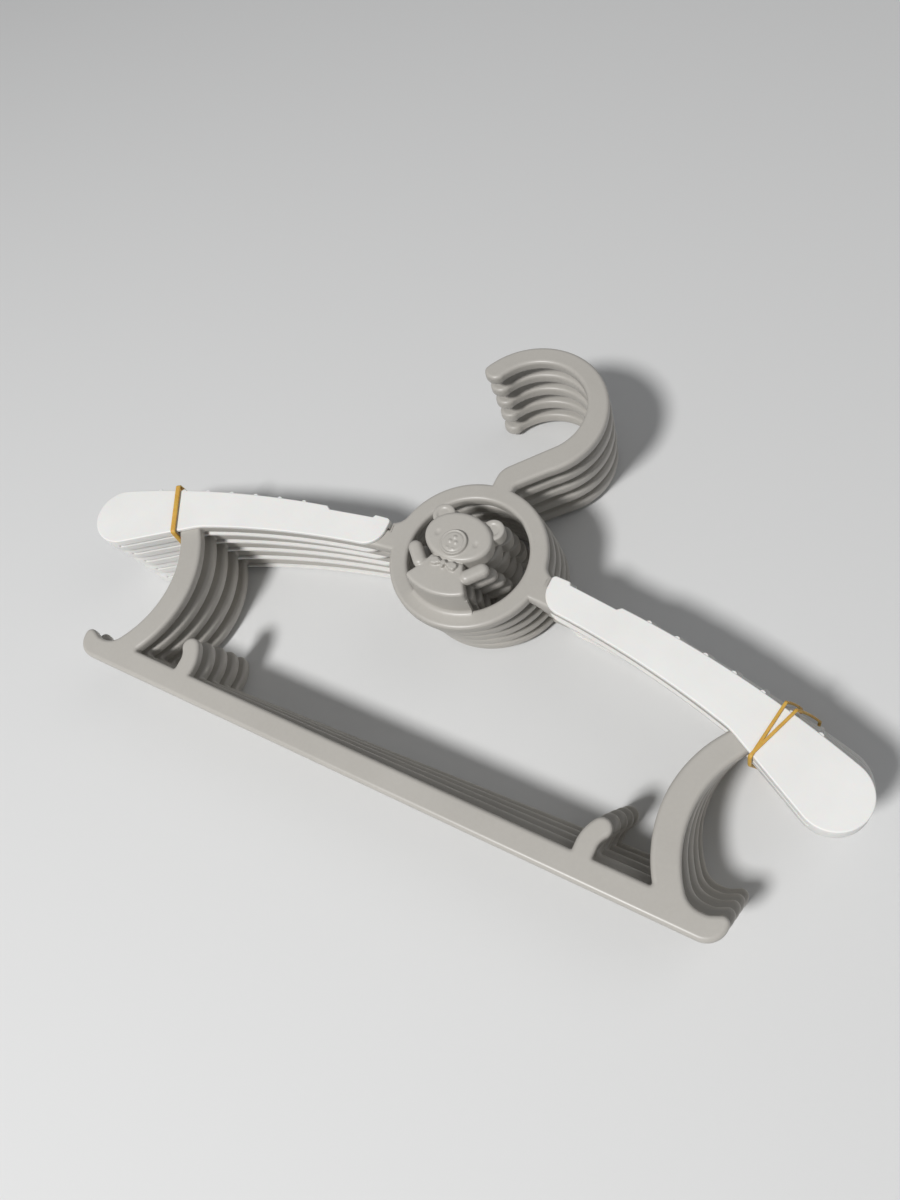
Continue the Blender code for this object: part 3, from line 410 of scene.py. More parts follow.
def outer_right_corners():
    """Right half of the outside, from the neck down to the end of the bar."""
    neck_angle = math.degrees(math.acos(NECK_WIDTH / 2 / RING_RADIUS))
    fillet_centre = circle_crossing(
        (0.0, 0.0), RING_RADIUS + ARM_FILLET, shoulder_centre, SHOULDER_RADIUS + ARM_FILLET, 1
    )
    ring_touch = angle_of((0.0, 0.0), fillet_centre)
    fillet_end = -math.degrees(math.acos((arm_stub_end - fillet_centre.x) / ARM_FILLET))
    corners = arc((0.0, 0.0), RING_RADIUS, neck_angle, ring_touch, 18)[1:-1]
    corners += arc(fillet_centre, ARM_FILLET, ring_touch - 180.0, fillet_end, 10)
    tip_bearing = bearing_at(arm_end, arm_top_radius)
    tip_top = on_arm(tip_bearing, arm_top_radius)
    tip_low = on_arm(tip_bearing, arm_tip_radius)
    stub_foot = on_arm(bearing_at(arm_stub_end, SHOULDER_RADIUS), arm_top_radius)
    brace_top = circle_crossing(
        shoulder_centre, arm_tip_radius, brace_outer_centre, BRACE_OUTER_RADIUS, 1
    )
    corners += arm_curve(stub_foot.x, arm_end, arm_top_radius, arm_top_radius, 16)[:-1]
    corners += [(tip_top.x, tip_top.y, ARM_TIP_ROUND), (tip_low.x, tip_low.y, ARM_TIP_ROUND)]
    corners.append((brace_top.x, brace_top.y, 0.0))
    hollow_centre = bar_hollow_centre()
    hollow_floor = hollow_centre.y - BAR_HOLLOW_ROUND
    tip_start_x = hollow_centre.x + BAR_HOLLOW_LENGTH
    bar_end_x = tip_start_x + BAR_TIP_LENGTH
    brace_start = angle_of(brace_outer_centre, brace_top) % 360.0
    hollow_touch = angle_of(brace_outer_centre, hollow_centre) % 360.0
    corners += arc(brace_outer_centre, BRACE_OUTER_RADIUS, brace_start, hollow_touch, 26)[1:]
    corners += arc(hollow_centre, BAR_HOLLOW_ROUND, hollow_touch, 270.0, 10)[1:]
    corners.append((tip_start_x, hollow_floor, 3 * BAR_TIP_ROUND))
    tip_centre = (bar_end_x - BAR_TIP_ROUND, BAR_TOP + BAR_TIP_LIFT - BAR_TIP_ROUND)
    corner_centre = (bar_end_x - BAR_CORNER_ROUND, bar_bottom + BAR_CORNER_ROUND)
    corners += arc(tip_centre, BAR_TIP_ROUND, 112.0, 6.0, 10)
    corners += arc(corner_centre, BAR_CORNER_ROUND, 0.0, -90.0, 14)
    return corners


def finger_corners():
    """Notch finger on the bar, bent outwards like a thumb, with a round head."""
    near_x = FINGER_BASE_X - FINGER_WIDTH / 2
    far_x = FINGER_BASE_X + FINGER_WIDTH / 2
    head_centre = Vector((finger_head_x, BAR_TOP + FINGER_HEIGHT - FINGER_HEAD_RADIUS))
    back_x = near_x + FINGER_BACK_ROUND
    back_reach = FINGER_BACK_ROUND - FINGER_HEAD_RADIUS
    back_drop = math.sqrt(back_reach ** 2 - (back_x - head_centre.x) ** 2)
    back_centre = Vector((back_x, head_centre.y - back_drop))
    notch_x = far_x + FINGER_NOTCH_ROUND
    notch_reach = FINGER_NOTCH_ROUND + FINGER_HEAD_RADIUS
    notch_drop = math.sqrt(notch_reach ** 2 - (notch_x - head_centre.x) ** 2)
    notch_centre = Vector((notch_x, head_centre.y - notch_drop))
    head_start = angle_of(head_centre, notch_centre)
    head_end = angle_of(back_centre, head_centre)
    corners = [(far_x, BAR_TOP, FINGER_FOOT_ROUND)]
    corners += arc(notch_centre, FINGER_NOTCH_ROUND, 180.0, head_start + 180.0, 6)
    corners += arc(head_centre, FINGER_HEAD_RADIUS, head_start, head_end, 20)[1:]
    corners += arc(back_centre, FINGER_BACK_ROUND, head_end, 180.0, 9)[1:]
    corners.append((near_x, BAR_TOP, FINGER_FOOT_ROUND))
    return corners


def window_right_corners():
    """Right half of the window between the ring, an arm, a brace and the bar."""
    root = circle_crossing((0.0, 0.0), RING_RADIUS, shoulder_centre, arm_root_radius, 1)
    brace_top = circle_crossing(
        shoulder_centre, arm_brace_radius, brace_inner_centre, BRACE_INNER_RADIUS, 1
    )
    corners = arc((0.0, 0.0), RING_RADIUS, -90.0, angle_of((0.0, 0.0), root), 24)
    corners += arm_curve(root.x, brace_top.x, arm_root_radius, arm_brace_radius, 16)[1:-1]
    corners.append((brace_top.x, brace_top.y, ARM_UNDER_FILLET))
    foot_drop = BAR_TOP - brace_centre_y
    foot_x = brace_inner_centre.x - math.sqrt(BRACE_INNER_RADIUS ** 2 - foot_drop ** 2)
    brace_start = angle_of(brace_inner_centre, brace_top) % 360.0
    brace_end = angle_of(brace_inner_centre, (foot_x, BAR_TOP)) % 360.0
    corners += arc(brace_inner_centre, BRACE_INNER_RADIUS, brace_start, brace_end, 24)[1:-1]
    corners.append((foot_x, BAR_TOP, BRACE_FOOT_ROUND))
    return corners + finger_corners()


def paddle_centre():
    return on_arm(paddle_bearing, paddle_orbit)


def paddle_lower_angle(knee):
    line = knee - paddle_centre()
    return math.degrees(math.atan2(line.y, line.x) + math.acos(PADDLE_RADIUS / line.length)) - 360.0


def paddle_knee():
    knee_radius = SHOULDER_RADIUS - SLEEVE_BRACE_WIDTH
    return on_arm(bearing_at(paddle_knee_x, knee_radius), knee_radius)


def sleeve_corners(fine=4):
    """Outline of the right sleeve, from its inner end round the paddle and back."""
    lip_radius = SHOULDER_RADIUS + SLEEVE_LIP_HEIGHT
    start = bearing_at(arm_stub_end, SHOULDER_RADIUS) + SLIDE_CLEARANCE / SHOULDER_RADIUS
    root_radius = SHOULDER_RADIUS - SLEEVE_ROOT_WIDTH
    knee_radius = SHOULDER_RADIUS - SLEEVE_BRACE_WIDTH
    notch_start = on_arm(
        bearing_at(lip_end_x + NOTCH_START_DEPTH, SHOULDER_RADIUS), SHOULDER_RADIUS - NOTCH_START_DEPTH
    )
    notch_end = on_arm(bearing_at(notch_end_x, SHOULDER_RADIUS), SHOULDER_RADIUS - NOTCH_END_DEPTH)
    lip_start = on_arm(start, lip_radius)
    lip_end = on_arm(bearing_at(lip_end_x, lip_radius), lip_radius)
    round_bearing = start + SLEEVE_INNER_ROUND / root_radius
    round_centre = on_arm(round_bearing, root_radius + SLEEVE_INNER_ROUND)
    round_angle = -90.0 - math.degrees(round_bearing)
    round_start = on_arm(round_bearing, root_radius)
    first_angle = 90.0 - math.degrees(paddle_bearing)
    paddle_x = on_arm(paddle_bearing, SHOULDER_RADIUS).x
    corners = [
        (lip_start.x, lip_start.y, 3 * SLEEVE_LIP_HEIGHT),
        (lip_end.x, lip_end.y, 0.0),
        (notch_start.x, notch_start.y, 0.0),
        (notch_end.x, notch_end.y, 0.0),
    ]
    peak_x = notch_end_x + NOTCH_END_DEPTH
    corners += arm_curve(peak_x, paddle_x, SHOULDER_RADIUS, SHOULDER_RADIUS, 8 * fine)[:-1]
    knee = paddle_knee()
    corners += arc(paddle_centre(), PADDLE_RADIUS, first_angle, paddle_lower_angle(knee), 9 * fine)
    corners.append((knee.x, knee.y, PADDLE_KNEE_ROUND))
    corners += arm_curve(paddle_knee_x, round_start.x, knee_radius, root_radius, 5 * fine)[fine // 2 + 1:-1]
    corners += arc(round_centre, SLEEVE_INNER_ROUND, round_angle, round_angle - 90.0, 4 * fine)
    return corners


def sleeve_hollow_corners():
    """Channel for the arm. It is open at the inner end and below, up to the brace."""
    roof = SHOULDER_RADIUS - SLEEVE_TOP_WALL
    first = on_arm(bearing_at(arm_stub_end - OVERRUN, roof), roof)
    knee = paddle_knee()
    centre = paddle_centre()
    lower_angle = math.radians(paddle_lower_angle(knee))
    outward = Vector((math.cos(lower_angle), math.sin(lower_angle)))
    along = Vector((-outward.y, outward.x))
    rim_end = centre + outward * (PADDLE_RADIUS - SLEEVE_RIM_WALL)
    rim_knee = rim_end + along * (knee - centre).dot(along)
    gate_radius = BRACE_OUTER_RADIUS - 2 * SLIDE_CLEARANCE
    drop = outward * OVERRUN
    gate_top = line_to_circle(rim_end, rim_knee, brace_outer_centre, gate_radius)
    gate_low = line_to_circle(rim_end + drop, rim_knee + drop, brace_outer_centre, gate_radius)
    below = SHOULDER_RADIUS - SLEEVE_BRACE_WIDTH - OVERRUN
    end_angle = 90.0 - math.degrees(paddle_bearing)
    corners = arm_curve(first.x, on_arm(paddle_bearing, roof).x, roof, roof, 24)[:-1]
    corners += arc(centre, PADDLE_RADIUS - SLEEVE_TOP_WALL, end_angle, math.degrees(lower_angle), 12)
    corners += [(gate_top.x, gate_top.y, 0.0), (gate_low.x, gate_low.y, 0.0)]
    corners += arm_curve(paddle_knee_x - OVERRUN, arm_stub_end - OVERRUN, below, below, 8)
    return corners


def paddle_slot_corners():
    """Narrow seam through the paddle's lower rim."""
    knee = paddle_knee()
    lower_angle = math.radians(paddle_lower_angle(knee))
    outward = Vector((math.cos(lower_angle), math.sin(lower_angle)))
    centre = paddle_centre()
    end_out = centre + outward * (PADDLE_RADIUS + OVERRUN)
    end_in = centre + outward * (PADDLE_RADIUS - SLEEVE_RIM_WALL - SLEEVE_PLATE)
    end_out.x = paddle_centre_x - PADDLE_SLOT_SETBACK
    knee_out = knee + outward * OVERRUN
    knee_in = knee - outward * (SLEEVE_RIM_WALL + SLEEVE_PLATE)
    return [(place.x, place.y, 0.0) for place in (end_in, end_out, knee_out, knee_in)]


# Solids

def inset(shape, faces, thickness, depth=0.0):
    """Draw the rim of a flat face in, and lift what is inside it by the depth."""
    bmesh.ops.inset_region(
        shape, faces=faces, use_boundary=True, use_even_offset=True, thickness=thickness, depth=depth
    )


def round_rim(shape, faces, radius, steps):
    """Roll the rim of a flat face over, in rings that follow a quarter circle."""
    for step in range(steps):
        first = math.pi / 2 * step / steps
        last = math.pi / 2 * (step + 1) / steps
        inward = radius * (math.cos(first) - math.cos(last))
        inset(shape, faces, inward, radius * (math.sin(last) - math.sin(first)))


def slab(loops, low, high, top_round=0.0, bottom_round=0.0, steps=4, dish=0.0):
    """Flat body between two heights with rolled rims. Loops after the first are holes."""
    shape = bmesh.new()
    for loop in loops:
        ring = [shape.verts.new((place[0], place[1], high - top_round)) for place in loop]
        for index, vertex in enumerate(ring):
            shape.edges.new((ring[index - 1], vertex))
    bmesh.ops.triangle_fill(shape, use_beauty=True, use_dissolve=False, edges=shape.edges[:])
    top = shape.faces[:]
    grown = bmesh.ops.extrude_face_region(shape, geom=top)["geom"]
    moved = [item for item in grown if isinstance(item, bmesh.types.BMVert)]
    bottom = [item for item in grown if isinstance(item, bmesh.types.BMFace)]
    drop = high - low - top_round - bottom_round
    bmesh.ops.translate(shape, verts=moved, vec=(0.0, 0.0, -drop))
    bmesh.ops.recalc_face_normals(shape, faces=shape.faces[:])
    if top_round > 0.0:
        round_rim(shape, top, top_round, steps)
        inset(shape, top, RIM_FLAT)
    if bottom_round > 0.0:
        round_rim(shape, bottom, bottom_round, steps)
        inset(shape, bottom, RIM_FLAT)
    if dish > 0.0:
        inset(shape, top, 2 * dish)
        inset(shape, top, dish, -dish)
    return shape


def mesh_of(shape, name):
    mesh = bpy.data.meshes.new(name)
    shape.to_mesh(mesh)
    shape.free()
    return mesh


def joined(shapes, name):
    """Several closed shapes as one mesh."""
    whole = bmesh.new()
    for shape in shapes:
        part = mesh_of(shape, name)
        whole.from_mesh(part)
        bpy.data.meshes.remove(part)
    return mesh_of(whole, name)


def worked(mesh, name, *steps):
    """The mesh after modifiers, each step a kind and its settings."""
    item = bpy.data.objects.new(name, mesh)
    bpy.context.scene.collection.objects.link(item)
    for kind, settings in steps:
        modifier = item.modifiers.new(kind, kind)
        for key, value in settings.items():
            setattr(modifier, key, value)
    bpy.context.view_layer.update()
    result = bpy.data.meshes.new_from_object(item.evaluated_get(bpy.context.evaluated_depsgraph_get()))
    bpy.data.objects.remove(item)
    return result


def combined(mesh, tool_mesh, operation, name):
    tool = bpy.data.objects.new(name + "_tool", tool_mesh)
    bpy.context.scene.collection.objects.link(tool)
    result = worked(mesh, name, ("BOOLEAN", {"operation": operation, "solver": "EXACT", "object": tool}))
    bpy.data.objects.remove(tool)
    return result


def plate():
    """The flat part of the hanger: hook, ring, arms, braces and bar."""
    right = outer_right_corners()
    outside = rounded(hook_corners() + right + mirrored(right))
    window_right = window_right_corners()
    window = rounded(window_right + mirrored(window_right[1:]))
    bore = rounded(arc((0.0, 0.0), RING_RADIUS - RING_WIDTH, 0.0, 356.25, 95))
    return slab([outside, window, bore], -PLATE_THICKNESS, 0.0, PLATE_ROUND, PLATE_ROUND)


def pedestal():
    """Curved wall that carries the bear, with a fillet where it leaves the ring."""
    top = BEAR_LIFT + PEDESTAL_TOP_OVERLAP
    root = -PEDESTAL_ROOT_DEPTH
    foot = PEDESTAL_FOOT_SETBACK - PLATE_THICKNESS
    inner = pedestal_radius - PEDESTAL_WALL
    profile = [(inner, top), (inner, foot), (RING_RADIUS - RING_WIDTH + PEDESTAL_FOOT_REACH, foot)]
    profile += [(pedestal_radius + PEDESTAL_FILLET, root)]
    fillet = arc((pedestal_radius + PEDESTAL_FILLET, PEDESTAL_FILLET), PEDESTAL_FILLET, 270.0, 180.0, 6)
    profile += [(place[0], place[1]) for place in fillet]
    profile.append((pedestal_radius, top))
    shape = bmesh.new()
    section = shape.faces.new([shape.verts.new((radius, 0.0, height)) for radius, height in profile])
    bmesh.ops.rotate(
        shape,
        verts=shape.verts[:],
        cent=(0.0, 0.0, 0.0),
        matrix=Matrix.Rotation(math.radians(-90.0 - PEDESTAL_HALF_ANGLE), 3, "Z"),
    )
    bmesh.ops.spin(
        shape,
        geom=[section],
        cent=(0.0, 0.0, 0.0),
        axis=(0.0, 0.0, 1.0),
        angle=math.radians(2 * PEDESTAL_HALF_ANGLE),
        steps=30,
        use_duplicate=False,
    )
    if not [face for face in shape.faces if abs(face.calc_center_median().x) > pedestal_radius / 2]:
        raise ValueError("the pedestal didn't spin")
    bmesh.ops.holes_fill(shape, edges=shape.edges[:], sides=0)
    bmesh.ops.recalc_face_normals(shape, faces=shape.faces[:])
    return shape


def bear_body():
    hem_angle = BODY_HEM_ANGLE - BODY_HEM_TURN
    hem = arc((0.0, 0.0), pedestal_radius, -90.0 - hem_angle, -90.0 + hem_angle, 22)
    corner = arc((0.0, 0.0), pedestal_radius, BODY_HEM_ANGLE - 90.0, BODY_HEM_ANGLE - 90.0, 1)[0]
    sides = [
        (corner[0], corner[1], BODY_HEM_ROUND),
        (BODY_WAIST_X, BODY_WAIST_Y, BODY_WAIST_ROUND),
        (BODY_NECK_X, BODY_NECK_Y, 0.0),
        (-BODY_NECK_X, BODY_NECK_Y, 0.0),
        (-BODY_WAIST_X, BODY_WAIST_Y, BODY_WAIST_ROUND),
        (-corner[0], corner[1], BODY_HEM_ROUND),
    ]
    high = nose_top - BODY_RELIEF
    return slab([rounded(hem + sides)], BEAR_LIFT, high, BODY_ROUND, BODY_UNDER_ROUND)


def bear_head():
    outline = []
    for x, y, radius in arc((0.0, 0.0), HEAD_HALF_WIDTH, 0.0, 355.0, 71):
        outline.append((x, HEAD_CENTRE_Y + y * HEAD_HALF_HEIGHT / HEAD_HALF_WIDTH))
    return slab([outline], BEAR_LIFT, nose_top - HEAD_RELIEF, HEAD_ROUND, HEAD_UNDER_ROUND, 5)


def bear_ear(side):
    outline = arc((side * EAR_X, EAR_Y), EAR_RADIUS, 0.0, 350.0, 35)
    high = nose_top - EAR_RELIEF
    return slab([outline], BEAR_LIFT, high, EAR_ROUND, EAR_UNDER_ROUND, 4, EAR_DISH)


def bear_snout():
    outline = arc((0.0, SNOUT_Y), SNOUT_RADIUS, 0.0, 352.0, 44)
    low = nose_top - HEAD_RELIEF - RELIEF_ROOT
    return slab([outline], low, nose_top - SNOUT_RELIEF, SNOUT_ROUND)


def bear_paw(side):
    tip = Vector((side * PAW_TIP[0], PAW_TIP[1]))
    root = Vector((side * PAW_ROOT[0], PAW_ROOT[1]))
    lean = angle_of(root, tip)
    ends = arc(tip, PAW_RADIUS, lean - 90.0, lean + 90.0, 14)
    ends += arc(root, PAW_RADIUS, lean + 90.0, lean + 270.0, 14)
    high = nose_top - PAW_RELIEF
    return slab([ends], high - PAW_THICKNESS, high, PAW_ROUND, PAW_ROUND, 5)


def bear_bow():
    """Two scalloped lobes and the knot between them, a little proud of the body."""
    low = nose_top - BODY_RELIEF - RELIEF_ROOT
    high = nose_top - BOW_RELIEF
    pieces = []
    for side in (1, -1):
        for x, y, radius in BOW_SCALLOPS:
            scallop = arc((side * x, BOW_Y + y), radius, 0.0, 345.0, 23)
            pieces.append(slab([scallop], low, high, BOW_ROUND, 0.0, 4))
    for y, radius in KNOT_DOTS:
        knot = arc((0.0, BOW_Y + y), radius, 0.0, 345.0, 23)
        pieces.append(slab([knot], low, high + KNOT_RISE, KNOT_ROUND, 0.0, 4))
    return pieces


def bump(distance, radius):
    """Smooth hill of height 1 that ends at the radius."""
    share = min(distance / radius, 1.0)
    return (1.0 - share * share) ** 2


def face_relief(x, y):
    """Height added to the top of the head: eyes, groove round the snout, nose and mouth."""
    height = 0.0
    for side in (1, -1):
        across = (x - side * EYE_X) / EYE_HALF_WIDTH
        height -= EYE_DEPTH * bump(math.hypot(across, (y - EYE_Y) / EYE_HALF_HEIGHT), 1.0)
    from_snout = math.hypot(x, y - SNOUT_Y)
    from_groove = abs(from_snout - SNOUT_GROOVE_SHARE * SNOUT_RADIUS)
    height -= SNOUT_GROOVE_DEPTH * bump(from_groove, SNOUT_GROOVE_HALF_WIDTH)
    for angle in (90.0, 210.0, 330.0):
        dot = arc((0.0, SNOUT_Y + NOSE_LIFT), NOSE_SPREAD, angle, angle, 1)[0]
        height += NOSE_DOT_HEIGHT * bump(math.hypot(x - dot[0], y - dot[1]), NOSE_DOT_RADIUS)
    for side in (1, -1):
        mouth = math.hypot(x - side * MOUTH_X, (y - SNOUT_Y + MOUTH_DROP) * MOUTH_FLATNESS)
        height += MOUTH_HEIGHT * bump(mouth, MOUTH_RADIUS)
    return height


def bear():
    """Bear and pedestal melted into one soft moulding."""
    shapes = [pedestal(), bear_body(), bear_head(), bear_snout()] + bear_bow()
    for side in (1, -1):
        shapes += [bear_ear(side), bear_paw(side)]
    mesh = worked(
        joined(shapes, "bear"),
        "bear",
        ("REMESH", {"mode": "VOXEL", "voxel_size": BEAR_GRAIN, "adaptivity": 0.0}),
        ("SMOOTH", {"factor": 0.5, "iterations": 3}),
    )
    face_floor = nose_top - HEAD_RELIEF - FACE_DEPTH
    for vertex in mesh.vertices:
        if vertex.co.z > face_floor and vertex.normal.z > FACE_STEEPNESS:
            vertex.co.z += face_relief(vertex.co.x, vertex.co.y)
    return mesh


def moulding():
    """The whole grey moulding of one hanger."""
    return combined(mesh_of(plate(), "plate"), bear(), "UNION", "moulding")


def ridge_places():
    orbit = SHOULDER_RADIUS + RIDGE_HEIGHT - RIDGE_RADIUS
    first = bearing_at(notch_end_x + RIDGE_SETBACK, SHOULDER_RADIUS)
    return [on_arm(first + index * RIDGE_PITCH / SHOULDER_RADIUS, orbit) for index in range(RIDGE_COUNT)]


def shoulder_sleeve():
    """The right sleeve: two plates joined along the shoulder and round the paddle."""
    sleeve = mesh_of(
        slab([rounded(sleeve_corners())], sleeve_back, sleeve_front, SLEEVE_ROUND, SLEEVE_ROUND), "sleeve"
    )
    for place in ridge_places():
        ridge = slab(
            [arc(place, RIDGE_RADIUS, 0.0, 340.0, 17)],
            sleeve_back + RIDGE_INSET,
            sleeve_front - RIDGE_INSET,
            RIDGE_ROUND,
            RIDGE_ROUND,
            3,
        )
        sleeve = combined(sleeve, mesh_of(ridge, "ridge"), "UNION", "sleeve")
    hollow_low = -PLATE_THICKNESS - SLIDE_CLEARANCE
    hollow = slab([rounded(sleeve_hollow_corners())], hollow_low, SLIDE_CLEARANCE)
    sleeve = combined(sleeve, mesh_of(hollow, "hollow"), "DIFFERENCE", "sleeve")
    slot_low = -PLATE_THICKNESS / 2 - PADDLE_SLOT / 2
    slot = slab([rounded(paddle_slot_corners())], slot_low, slot_low + PADDLE_SLOT)
    return combined(sleeve, mesh_of(slot, "slot"), "DIFFERENCE", "sleeve")


# Places

def hanger_place(number):
    """Where a hanger lies, from the axes on which its two sleeves slide."""
    slides = {joint["name"]: joint for joint in frame["record"]["behaviour"]["joints"]}
    left = slides[f"left_slide_{number}"]
    left_pivot = Vector(left["pos_m"])
    right_pivot = Vector(slides[f"right_slide_{number}"]["pos_m"])
    up = Vector(left["axis"]).normalized()
    across = (right_pivot - left_pivot).normalized()
    ahead = up.cross(across)
    place = Matrix((across, ahead, up)).transposed().to_4x4()
    place.translation = (left_pivot + right_pivot) / 2 - ahead * shoulder_centre.y
    return place


def sleeve_edge_rings(side):
    lifted = []
    for place in rounded(sleeve_corners(1), 3):
        away = place - shoulder_centre
        on_shoulder = abs(away.length - SHOULDER_RADIUS) < RIDGE_HEIGHT
        lifted.append(place + away.normalized() * (RIDGE_HEIGHT if on_shoulder else 0.0))
    return [
        [Vector((side * place.x, place.y, height)) for place in lifted]
        for height in (sleeve_back, sleeve_front)
    ]


def plane_crossings(ring, origin, normal):
    crossings = []
    for index, place in enumerate(ring):
        before = ring[index - 1]
        first = (before - origin).dot(normal)
        second = (place - origin).dot(normal)
        if first * second < 0.0:
            crossings.append(before.lerp(place, first / (first - second)))
    return crossings


def turns_right(first, second, third):
    one = second - first
    other = third - second
    return one.x * other.y - one.y * other.x <= (0.001 * MM) ** 2


def taut_loop(places, spare):
    """Loop stretched round places on a plane, at a distance from them."""
    ringed = []
    for place in places:
        for x, y, radius in arc(place, spare, 0.0, 345.0, 23):
            ringed.append(Vector((x, y)))
    ringed.sort(key=lambda place: (place.x, place.y))
    halves = []
    for ordered in (ringed, list(reversed(ringed))):
        half = []
        for place in ordered:
            while len(half) > 1 and turns_right(half[-2], half[-1], place):
                half.pop()
            half.append(place)
        halves += half[:-1]
    return halves


def band_turn(places, side, reach, lean, width):
    """One turn of a rubber band round all the sleeves on one side, past the brace."""
    def edge_place(x, radius):
        place = on_arm(bearing_at(x, radius), radius)
        return places[-1] @ Vector((side * place.x, place.y, sleeve_front))

    foot_x = brace_outer_x + reach
    head = edge_place(foot_x + lean, SHOULDER_RADIUS)
    foot = edge_place(foot_x, SHOULDER_RADIUS - SLEEVE_BRACE_WIDTH)
    across = head - foot
    across.z = 0.0
    across.normalize()
    up = Vector((0.0, 0.0, 1.0))
    normal = across.cross(up)
    inner_places = []
    for place in places:
        for ring in sleeve_edge_rings(side):
            placed = [place @ point for point in ring]
            for shift in (-width / 2, 0.0, width / 2):
                for crossing in plane_crossings(placed, foot + normal * shift, normal):
                    inner_places.append(Vector(((crossing - foot).dot(across), crossing.z - foot.z)))
    inner = taut_loop(inner_places, BAND_CLEARANCE)
    outer = taut_loop(inner_places, BAND_CLEARANCE + BAND_THICKNESS)
    turn = slab([outer, inner], -width / 2, width / 2, BAND_ROUND, BAND_ROUND, 3)
    frame_of_turn = Matrix((across, up, normal)).transposed().to_4x4()
    bmesh.ops.transform(turn, matrix=Matrix.Translation(foot) @ frame_of_turn, verts=turn.verts[:])
    return turn


# Finishes

class Strand:
    """One number, colour or direction on its way through a material."""

    def __init__(self, recipe, socket):
        self.recipe = recipe
        self.socket = socket

    def sum_of(self, operation, first, second):
        return self.recipe.add("ShaderNodeMath", {"operation": operation}, {0: first, 1: second})["Value"]

    def __add__(self, other):
        return self.sum_of("ADD", self, other)

    def __radd__(self, other):
        return self.sum_of("ADD", other, self)

    def __mul__(self, other):
        return self.sum_of("MULTIPLY", self, other)

    def __rmul__(self, other):
        return self.sum_of("MULTIPLY", other, self)


class Outputs:
    """The outputs of one node, by name."""

    def __init__(self, recipe, node):
        self.recipe = recipe
        self.node = node

    def __getitem__(self, name):
        return Strand(self.recipe, self.node.outputs[name])


class Recipe:
    """A material and the nodes that make its finish."""

    def __init__(self, name):
        self.material = bpy.data.materials.new(name)
        self.material.use_nodes = True
        self.tree = self.material.node_tree
        self.shader = self.tree.nodes["Principled BSDF"]

    def feed(self, socket, value):
        if isinstance(value, Strand):
            self.tree.links.new(value.socket, socket)
        else:
            socket.default_value = value

    def add(self, kind, settings, values):
        node = self.tree.nodes.new(kind)
        for key, value in settings.items():
            if key == "stops":
                ramp = node.color_ramp
                for index, (position, colour) in enumerate(value):
                    stop = ramp.elements[index] if index < 2 else ramp.elements.new(position)
                    stop.position = position
                    stop.color = (*colour, 1.0)
            else:
                setattr(node, key, value)
        for name, value in values.items():
            self.feed(node.inputs[name], value)
        return Outputs(self, node)

    def noise(self, scale, detail=3.0, roughness=0.5):
        place = self.add("ShaderNodeTexCoord", {}, {})["Object"]
        values = {"Vector": place, "Scale": scale, "Detail": detail, "Roughness": roughness}
        return self.add("ShaderNodeTexNoise", {}, values)["Fac"]

    def tint(self, share, first, second):
        stops = {"stops": ((0.3, first), (0.7, second))}
        return self.add("ShaderNodeValToRGB", stops, {"Fac": share})["Color"]

    def relief(self, height, distance, strength=1.0, under=None):
        values = {"Height": height, "Distance": distance, "Strength": strength}
        if under:
            values["Normal"] = under
        return self.add("ShaderNodeBump", {}, values)["Normal"]

    def finish(self, **sockets):
        for name, value in sockets.items():
            self.feed(self.shader.inputs[name.replace("_", " ")], value)
        return self.material


def grey_finish():
    """Satin warm grey plastic with a fine moulded skin and faint handling marks."""
    recipe = Recipe("satin_grey_moulding")
    cloud = recipe.noise(38.0, 4.0)
    speck = recipe.noise(900.0, 2.0)
    skin = recipe.noise(2600.0, 2.0, 0.6)
    waves = recipe.noise(260.0, 2.0, 0.5)
    colour = recipe.tint(cloud * 0.7 + speck * 0.3, (0.418, 0.398, 0.364), (0.452, 0.432, 0.397))
    rough = 0.3 + 0.1 * cloud + 0.06 * speck
    normal = recipe.relief(skin, 0.00002, 0.5)
    normal = recipe.relief(waves, 0.00005, 0.35, normal)
    return recipe.finish(
        Base_Color=colour, Roughness=rough, Normal=normal, Specular_IOR_Level=0.5, IOR=1.49
    )


def white_finish():
    """Fine matte white plastic."""
    recipe = Recipe("matte_white_plastic")
    cloud = recipe.noise(45.0, 4.0)
    skin = recipe.noise(3400.0, 2.0, 0.6)
    waves = recipe.noise(300.0, 2.0, 0.5)
    colour = recipe.tint(cloud, (0.775, 0.768, 0.745), (0.815, 0.808, 0.785))
    rough = 0.42 + 0.12 * cloud
    normal = recipe.relief(skin, 0.00002, 0.45)
    normal = recipe.relief(waves, 0.00004, 0.3, normal)
    return recipe.finish(
        Base_Color=colour, Roughness=rough, Normal=normal, Subsurface_Weight=0.08, Subsurface_Scale=0.001
    )


def amber_finish():
    """Dull amber rubber with fine lengthwise drag marks."""
    recipe = Recipe("amber_rubber_band")
    cloud = recipe.noise(240.0, 4.0)
    skin = recipe.noise(1800.0, 3.0, 0.6)
    colour = recipe.tint(cloud * 0.6 + skin * 0.4, (0.55, 0.31, 0.045), (0.7, 0.43, 0.09))
    normal = recipe.relief(skin, 0.00005, 0.6)
    return recipe.finish(
        Base_Color=colour,
        Roughness=0.48 + 0.15 * skin,
        Normal=normal,
        Subsurface_Weight=0.25,
        Subsurface_Scale=0.0008,
    )


# Pieces

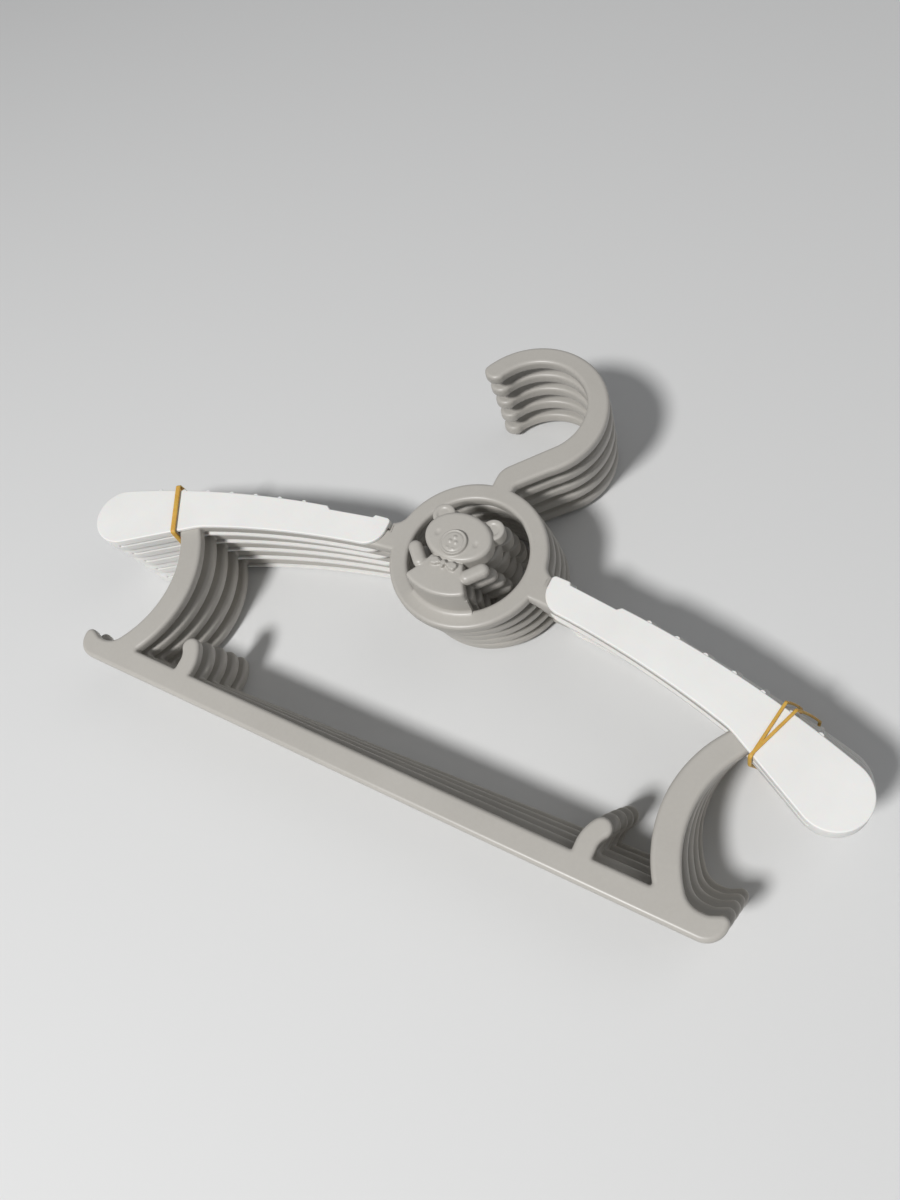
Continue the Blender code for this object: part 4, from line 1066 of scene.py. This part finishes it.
def shown(name, mesh, place, material, body, node, sharp=40.0):
    """Lay a mesh on its place and show it instead of the plain solid."""
    laid = mesh.copy()
    laid.transform(place)
    if place.determinant() < 0.0:
        laid.flip_normals()
    laid.materials.clear()
    laid.materials.append(material)
    laid.polygons.foreach_set("use_smooth", [True] * len(laid.polygons))
    laid.set_sharp_from_angle(angle=math.radians(sharp))
    laid.name = name
    piece = bpy.data.objects.new(name, laid)
    bpy.context.scene.collection.objects.link(piece)
    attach(piece, body)
    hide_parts(node)
    return piece


grey = grey_finish()
white = white_finish()
amber = amber_finish()

places = [hanger_place(index + 1) for index in range(HANGER_COUNT)]
grey_moulding = moulding()
right_sleeve = shoulder_sleeve()
flip = Matrix.Scale(-1.0, 4, (1.0, 0.0, 0.0))

for index, place in enumerate(places):
    number = index + 1
    shown(
        f"grey_moulding_{number}",
        grey_moulding,
        place,
        grey,
        "bundle",
        f"hanger_{number}_frame",
    )
    for label, turned in (("left", flip), ("right", Matrix.Identity(4))):
        shown(
            f"{label}_shoulder_sleeve_{number}",
            right_sleeve,
            place @ turned,
            white,
            f"{label}_sleeve_{number}",
            f"hanger_{number}_{label}_sleeve",
        )

left_turn = band_turn(places, -1, LEFT_BAND_REACH, LEFT_BAND_LEAN, LEFT_BAND_WIDTH)
near_turn = band_turn(places, 1, RIGHT_BAND_NEAR_REACH, RIGHT_BAND_NEAR_LEAN, RIGHT_BAND_WIDTH)
far_turn = band_turn(places, 1, RIGHT_BAND_FAR_REACH, RIGHT_BAND_FAR_LEAN, RIGHT_BAND_WIDTH)
left_band = mesh_of(left_turn, "left_band")
right_band = combined(mesh_of(near_turn, "near_turn"), mesh_of(far_turn, "far_turn"), "UNION", "right_band")
upright = Matrix.Identity(4)
shown("left_band", left_band, upright, amber, "bundle", "left_rubber_band")
shown("right_band", right_band, upright, amber, "bundle", "right_rubber_band")


# Floor, light and view

def floor():
    shape = bmesh.new()
    bmesh.ops.create_grid(shape, x_segments=1, y_segments=1, size=FLOOR_HALF_WIDTH)
    recipe = Recipe("pale_floor")
    material = recipe.finish(Base_Color=FLOOR_COLOUR, Roughness=0.8)
    mesh = mesh_of(shape, "floor")
    mesh.materials.append(material)
    item = bpy.data.objects.new("floor", mesh)
    bpy.context.scene.collection.objects.link(item)


def soft_lamp(name, place, width, power):
    lamp = bpy.data.lights.new(name, "AREA")
    lamp.shape = "DISK"
    lamp.size = width
    lamp.energy = power
    item = bpy.data.objects.new(name, lamp)
    bpy.context.scene.collection.objects.link(item)
    item.location = place
    item.rotation_euler = (Vector(LAMP_TARGET) - Vector(place)).to_track_quat("-Z", "Y").to_euler()


def view():
    """Camera held over the bundle's lower right, looking down to the upper left."""
    camera = bpy.data.cameras.new("view")
    camera.sensor_fit = "HORIZONTAL"
    camera.sensor_width = VIEW_SENSOR
    camera.lens = VIEW_LENS
    camera.clip_start = 0.01
    item = bpy.data.objects.new("view", camera)
    bpy.context.scene.collection.objects.link(item)
    held = Matrix((Vector(VIEW_RIGHT), -Vector(VIEW_DOWN), -Vector(VIEW_AHEAD))).transposed().to_4x4()
    held.translation = Vector(VIEW_PLACE)
    item.matrix_world = places[-1] @ held
    bpy.context.scene.camera = item


floor()
soft_lamp("key", KEY_PLACE, KEY_WIDTH, KEY_POWER)
soft_lamp("fill", FILL_PLACE, FILL_WIDTH, FILL_POWER)
world = bpy.data.worlds.new("pale_room")
world.use_nodes = True
background = world.node_tree.nodes["Background"]
background.inputs["Color"].default_value = ROOM_COLOUR
background.inputs["Strength"].default_value = ROOM_STRENGTH
bpy.context.scene.world = world
view()
bpy.context.scene.view_settings.view_transform = "Standard"
